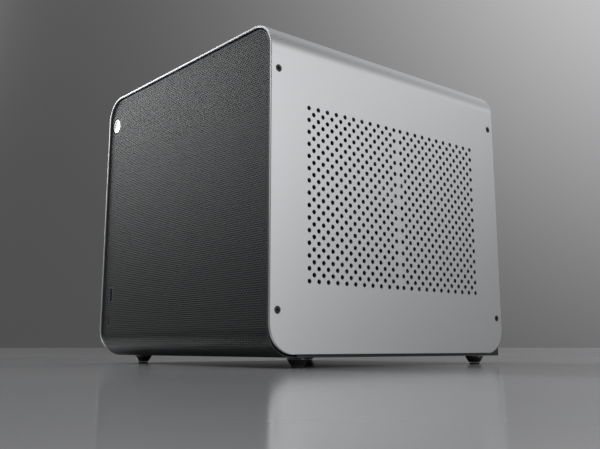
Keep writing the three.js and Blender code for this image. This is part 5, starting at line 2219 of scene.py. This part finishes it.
# ---------- drives and leads ----------
@dataclass
class Drives:
    """The disk drive on the floor and the solid-state drive on its bracket."""

    def disk(self) -> None:
        """A cast case with a stepped lid, a spindle cap, six screws and its board below."""
        low, high = span("hard_drive")
        f = Former()
        f.block((low[0], low[1], low[2] + 2), (high[0], high[1], high[2] - 3), 0.8, 0)
        f.block((low[0] + 2, low[1] + 4, low[2] + 0.2), (high[0] - 2, high[1] - 40, low[2] + 1.9), 0.2, 2)
        lid: Loop = rectangle(low[0] + 2, high[0] - 2, low[1] + 3, high[1] - 3, 5.0, 6)
        f.plate(Axis.Z, [lid], high[2] - 3.05, high[2] - 0.9, 1)
        x, y = (low[0] + high[0]) / 2, (low[1] + high[1]) / 2 + 18
        f.lathe(
            Axis.Z, (x, y), [(0, high[2] - 1), (33, high[2] - 1), (32, high[2] - 0.4), (0, high[2] - 0.4)],
            48, 1,
        )
        f.lathe(
            Axis.Z, (x, y), [(0, high[2] - 0.5), (11, high[2] - 0.5), (10, high[2]), (0, high[2])], 32, 0
        )
        for u in (low[0] + 7, high[0] - 7):
            for v in (low[1] + 8, (low[1] + high[1]) / 2, high[1] - 8):
                f.lathe(
                    Axis.Z, (u, v),
                    [(0, high[2] - 1), (2.6, high[2] - 1), (2.2, high[2] - 0.2), (0, high[2] - 0.2)], 16, 0,
                )
        riding = Riding("chassis", ("hard_drive",), "drive_case")
        hang("disk_drive", f.mesh("disk"), [DRIVE_CASE, BRIGHT_METAL, CIRCUIT], riding)

    def chip_drive(self) -> None:
        """A thin sealed case with a parting line and a contact strip at its end."""
        low, high = span("solid_state_drive")
        middle_x = (low[0] + high[0]) / 2
        f = Former()
        f.block(low, (middle_x - 0.15, high[1], high[2]), 0.7)
        f.block((middle_x + 0.15, low[1], low[2]), high, 0.7)
        f.block((low[0] + 1, low[1] + 1, low[2] + 1), (high[0] - 1, high[1] - 1, high[2] - 1), 0.2)
        f.block(
            (middle_x - 1.2, high[1] - 0.9, low[2] + 8), (middle_x + 1.2, high[1] - 0.2, low[2] + 42), 0.1,
            1,
        )
        riding = Riding("chassis", ("solid_state_drive",), "black_plastic")
        hang("chip_drive", f.mesh("chip_drive"), [BLACK_PLASTIC, GOLD_CONTACT], riding)

    def build(self) -> None:
        """Make both drives."""
        self.disk()
        self.chip_drive()


@dataclass(frozen=True)
class Lead:
    """A braided lead inside the case, held at both ends, with a moulded plug."""

    name: str
    radius: float
    route: tuple[Point3, ...]
    plug_low: Point3
    plug_high: Point3

    def build(self) -> None:
        path = smooth(self.route, 72)
        sleeve = Former().tube(path, self.radius, 12).mesh("sleeve")
        riding = Riding("chassis", (self.name,), "lead_black")
        piece = hang(f"{self.name}_sleeve", sleeve, [LEAD_BLACK], riding, 40)
        f = Former().block(self.plug_low, self.plug_high, 0.5)
        start, ahead = np.array(path[0]), np.array(path[2]) - np.array(path[0])
        ahead /= np.linalg.norm(ahead)
        f.tube([tuple(start + ahead * t) for t in (0.4, 3.0, 6.0)], self.radius + 0.6, 12)
        plug = hang(f"{self.name}_plug", f.mesh("plug"), [BLACK_PLASTIC], Riding("chassis"), 40)


LEADS = (
    Lead(
        "board_power_lead",
        4.0,
        (
            (104, -2.9, 62), (104, -16.9, 62), (104, -34, 74), (104, -38, 100), (100, -34, 126),
            (88, -18, 144), (74, -4, 143), (68.5, 2, 134), (68.5, 2, 123.4),
        ),
        (64.4, -21, 123.2),
        (72.6, 25, 133),
    ),
    Lead(
        "graphics_power_lead",
        3.2,
        (
            (30, -2.9, 62), (28, -18.9, 62), (10, -52, 66), (-24, -78, 88), (-60, -86, 130),
            (-92, -74, 178), (-104, -54, 200), (-106, -36, 205), (-106, -20.4, 205),
        ),
        (-115, -32, 200.5),
        (-97, -20.3, 209.5),
    ),
    Lead(
        "front_usb_lead",
        2.2,
        (
            (-119, -122, 58), (-118, -110, 58), (-112, -92, 72), (-102, -74, 104), (-94, -54, 126),
            (-89, -36, 134), (-89, -27.5, 130), (-89, -27.5, 119.4),
        ),
        (-93.6, -30.6, 119.2),
        (-84.4, -24.4, 126),
    ),
    Lead(
        "power_button_lead",
        1.4,
        (
            (-125.4, -117.6, 243.2), (-125.4, -104, 244), (-124, -90, 226), (-116, -74, 180),
            (-96, -60, 150), (-79, -44, 136), (-74, -30.5, 130), (-74, -30.5, 117.4),
        ),
        (-78, -31.8, 117.2),
        (-70, -29.2, 123),
    ),
)


# ---------- the studio ----------
@dataclass(frozen=True)
class Glow:
    """A soft bright area of the studio's surround."""

    turn: float
    rise: float
    tightness: float
    strength: float

    def wire(self, sky: Wiring) -> bpy.types.NodeSocket:
        """Add its light to the surround.

        Args:
            sky: The world's nodes.

        Returns:
            How bright it is in each direction.
        """
        a, b = math.radians(self.turn), math.radians(self.rise)
        centre = (math.cos(a) * math.cos(b), math.sin(a) * math.cos(b), math.sin(b))
        ahead = sky.node("ShaderNodeTexCoord", {}).outputs["Generated"]
        dot = sky.node("ShaderNodeVectorMath", {0: ahead, 1: centre}, operation="DOT_PRODUCT")
        value = dot.outputs["Value"]
        for operation, number in (("MAXIMUM", 0.0), ("POWER", self.tightness), ("MULTIPLY", self.strength)):
            value = sky.math(operation, value, number)
        return value


@dataclass
class Studio:
    """The floor, the lights and the camera."""

    camera_place: Point3 = (587.0, -490.0, 15.9)
    forward: Point3 = (-0.7513, 0.6325, 0.1884)
    lens: float = 45.6
    sensor: float = 36.0
    shift: float = 0.039
    clip: Point = (0.01, 60.0)
    floor_reach: float = 12.0
    sky_colour: tuple[float, ...] = (0.985, 0.985, 1.0, 1.0)
    box_place: Point3 = (0.1, -0.2, 1.9)
    box_target: Point3 = (0.0, 0.0, 0.1)
    box_side: float = 1.2
    box_power: float = 3.0
    glows: tuple[Glow, ...] = (
        Glow(0, 90, 0.0, 0.08),
        Glow(18, 14, 22, 2.5),
        Glow(52, 24, 34, 0.9),
        Glow(190, 24, 60, 17.0),
        Glow(225, 75, 16, 0.9),
        Glow(275, 28, 6, 0.5),
        Glow(100, 36, 8, 0.7),
    )

    def floor(self) -> None:
        """Lay the floor, which is staged and not part of the object."""
        reach = self.floor_reach
        corners = [(-reach, -reach, 0), (reach, -reach, 0), (reach, reach, 0), (-reach, reach, 0)]
        mesh = bpy.data.meshes.new("floor")
        mesh.from_pydata(corners, [], [(0, 1, 2, 3)])
        mesh.materials.append(StudioFloor("studio_floor").material())
        floor = bpy.data.objects.new("studio_floor", mesh)
        bpy.context.scene.collection.objects.link(floor)

    def surround(self) -> None:
        """Light the scene from all round with the sum of the glows."""
        world = bpy.data.worlds.new("studio")
        bpy.context.scene.world = world
        world.use_nodes = True
        background = world.node_tree.nodes["Background"]
        background.inputs["Color"].default_value = self.sky_colour
        sky = Wiring(world.node_tree)
        total = self.glows[0].wire(sky)
        for glow in self.glows[1:]:
            total = sky.math("ADD", total, glow.wire(sky))
        sky.tree.links.new(total, background.inputs["Strength"])

    def top_box(self) -> None:
        """Hang one weak soft box over the object."""
        data = bpy.data.lights.new("top_box", "AREA")
        data.shape = "RECTANGLE"
        data.size = self.box_side
        data.size_y = self.box_side
        data.energy = self.box_power
        lamp = bpy.data.objects.new("top_box", data)
        bpy.context.scene.collection.objects.link(lamp)
        lamp.location = self.box_place
        ahead = Vector(self.box_target) - Vector(self.box_place)
        lamp.rotation_euler = ahead.to_track_quat("-Z", "Y").to_euler()

    def camera(self) -> None:
        """Set the camera."""
        data = bpy.data.cameras.new("camera")
        data.lens = self.lens
        data.sensor_width = self.sensor
        data.shift_y = -self.shift
        data.clip_start = self.clip[0]
        data.clip_end = self.clip[1]
        camera = bpy.data.objects.new("camera", data)
        bpy.context.scene.collection.objects.link(camera)
        camera.location = Vector(self.camera_place) * MM
        camera.rotation_mode = "QUATERNION"
        camera.rotation_quaternion = Vector(self.forward).to_track_quat("-Z", "Y")
        bpy.context.scene.camera = camera
        bpy.context.scene.view_settings.view_transform = "Standard"

    def build(self) -> None:
        """Lay the floor, hang the lights and set the camera."""
        self.floor()
        self.surround()
        self.top_box()
        self.camera()


SHEET_NODES = (
    "chassis_floor", "chassis_front_wall", "chassis_rear_panel", "motherboard_tray", "drive_bracket",
    "psu_case",
)
BOARD_NODES = ("motherboard", "graphics_board", "memory_stick_1", "memory_stick_2")
KEPT_FINISHES: dict[str, Finish] = {
    **dict.fromkeys(SHEET_NODES, CHASSIS_BLACK),
    **dict.fromkeys(("io_shield", "graphics_bracket"), ZINC),
    **dict.fromkeys(BOARD_NODES, CIRCUIT),
    "processor": BRIGHT_METAL,
}


def dress_kept_nodes() -> None:
    """Give every frame node that still shows its finish."""
    for name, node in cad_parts.items():
        if node.hide_render:
            continue
        node.data.materials.clear()
        node.data.materials.append(KEPT_FINISHES[name].material())
        LOG.info("%s keeps its own shape in %s", name, KEPT_FINISHES[name].name)


def main() -> None:
    """Build every sub-assembly in turn."""
    logging.basicConfig(level=logging.INFO, format="%(name)s: %(message)s")
    Studio().build()
    OuterCover().build()
    CoverScrews().build()
    FrontPanel().build()
    PowerSwitch().build()
    FrontSockets().build()
    Feet().build()
    Fan("front_fan", "front_fan", (0, -129.4, 150), 140, 67, 22, 9, hole=62.25).build()
    Fan("rear_fan", "rear_fan", (8, 112.4, 212), 92, 44, 16, 7, hole=41.25).build()
    Fan("cpu_fan", "cpu_fan", (8, 0.6, 200), 92, 44, 16, 7, hole=41.25).build()
    Fan("psu_fan", "psu_fan", (55, 67.5, 14.6), 120, 57.5, 20, 7, None, hole=52.5).build()
    RearGuard().build()
    RearPorts().build()
    BoardParts().build()
    ProcessorCooler().build()
    GraphicsCard().build()
    PowerSupply().build()
    Drives().build()
    for lead in LEADS:
        lead.build()
    dress_kept_nodes()


if __name__ == "__main__":
    main()
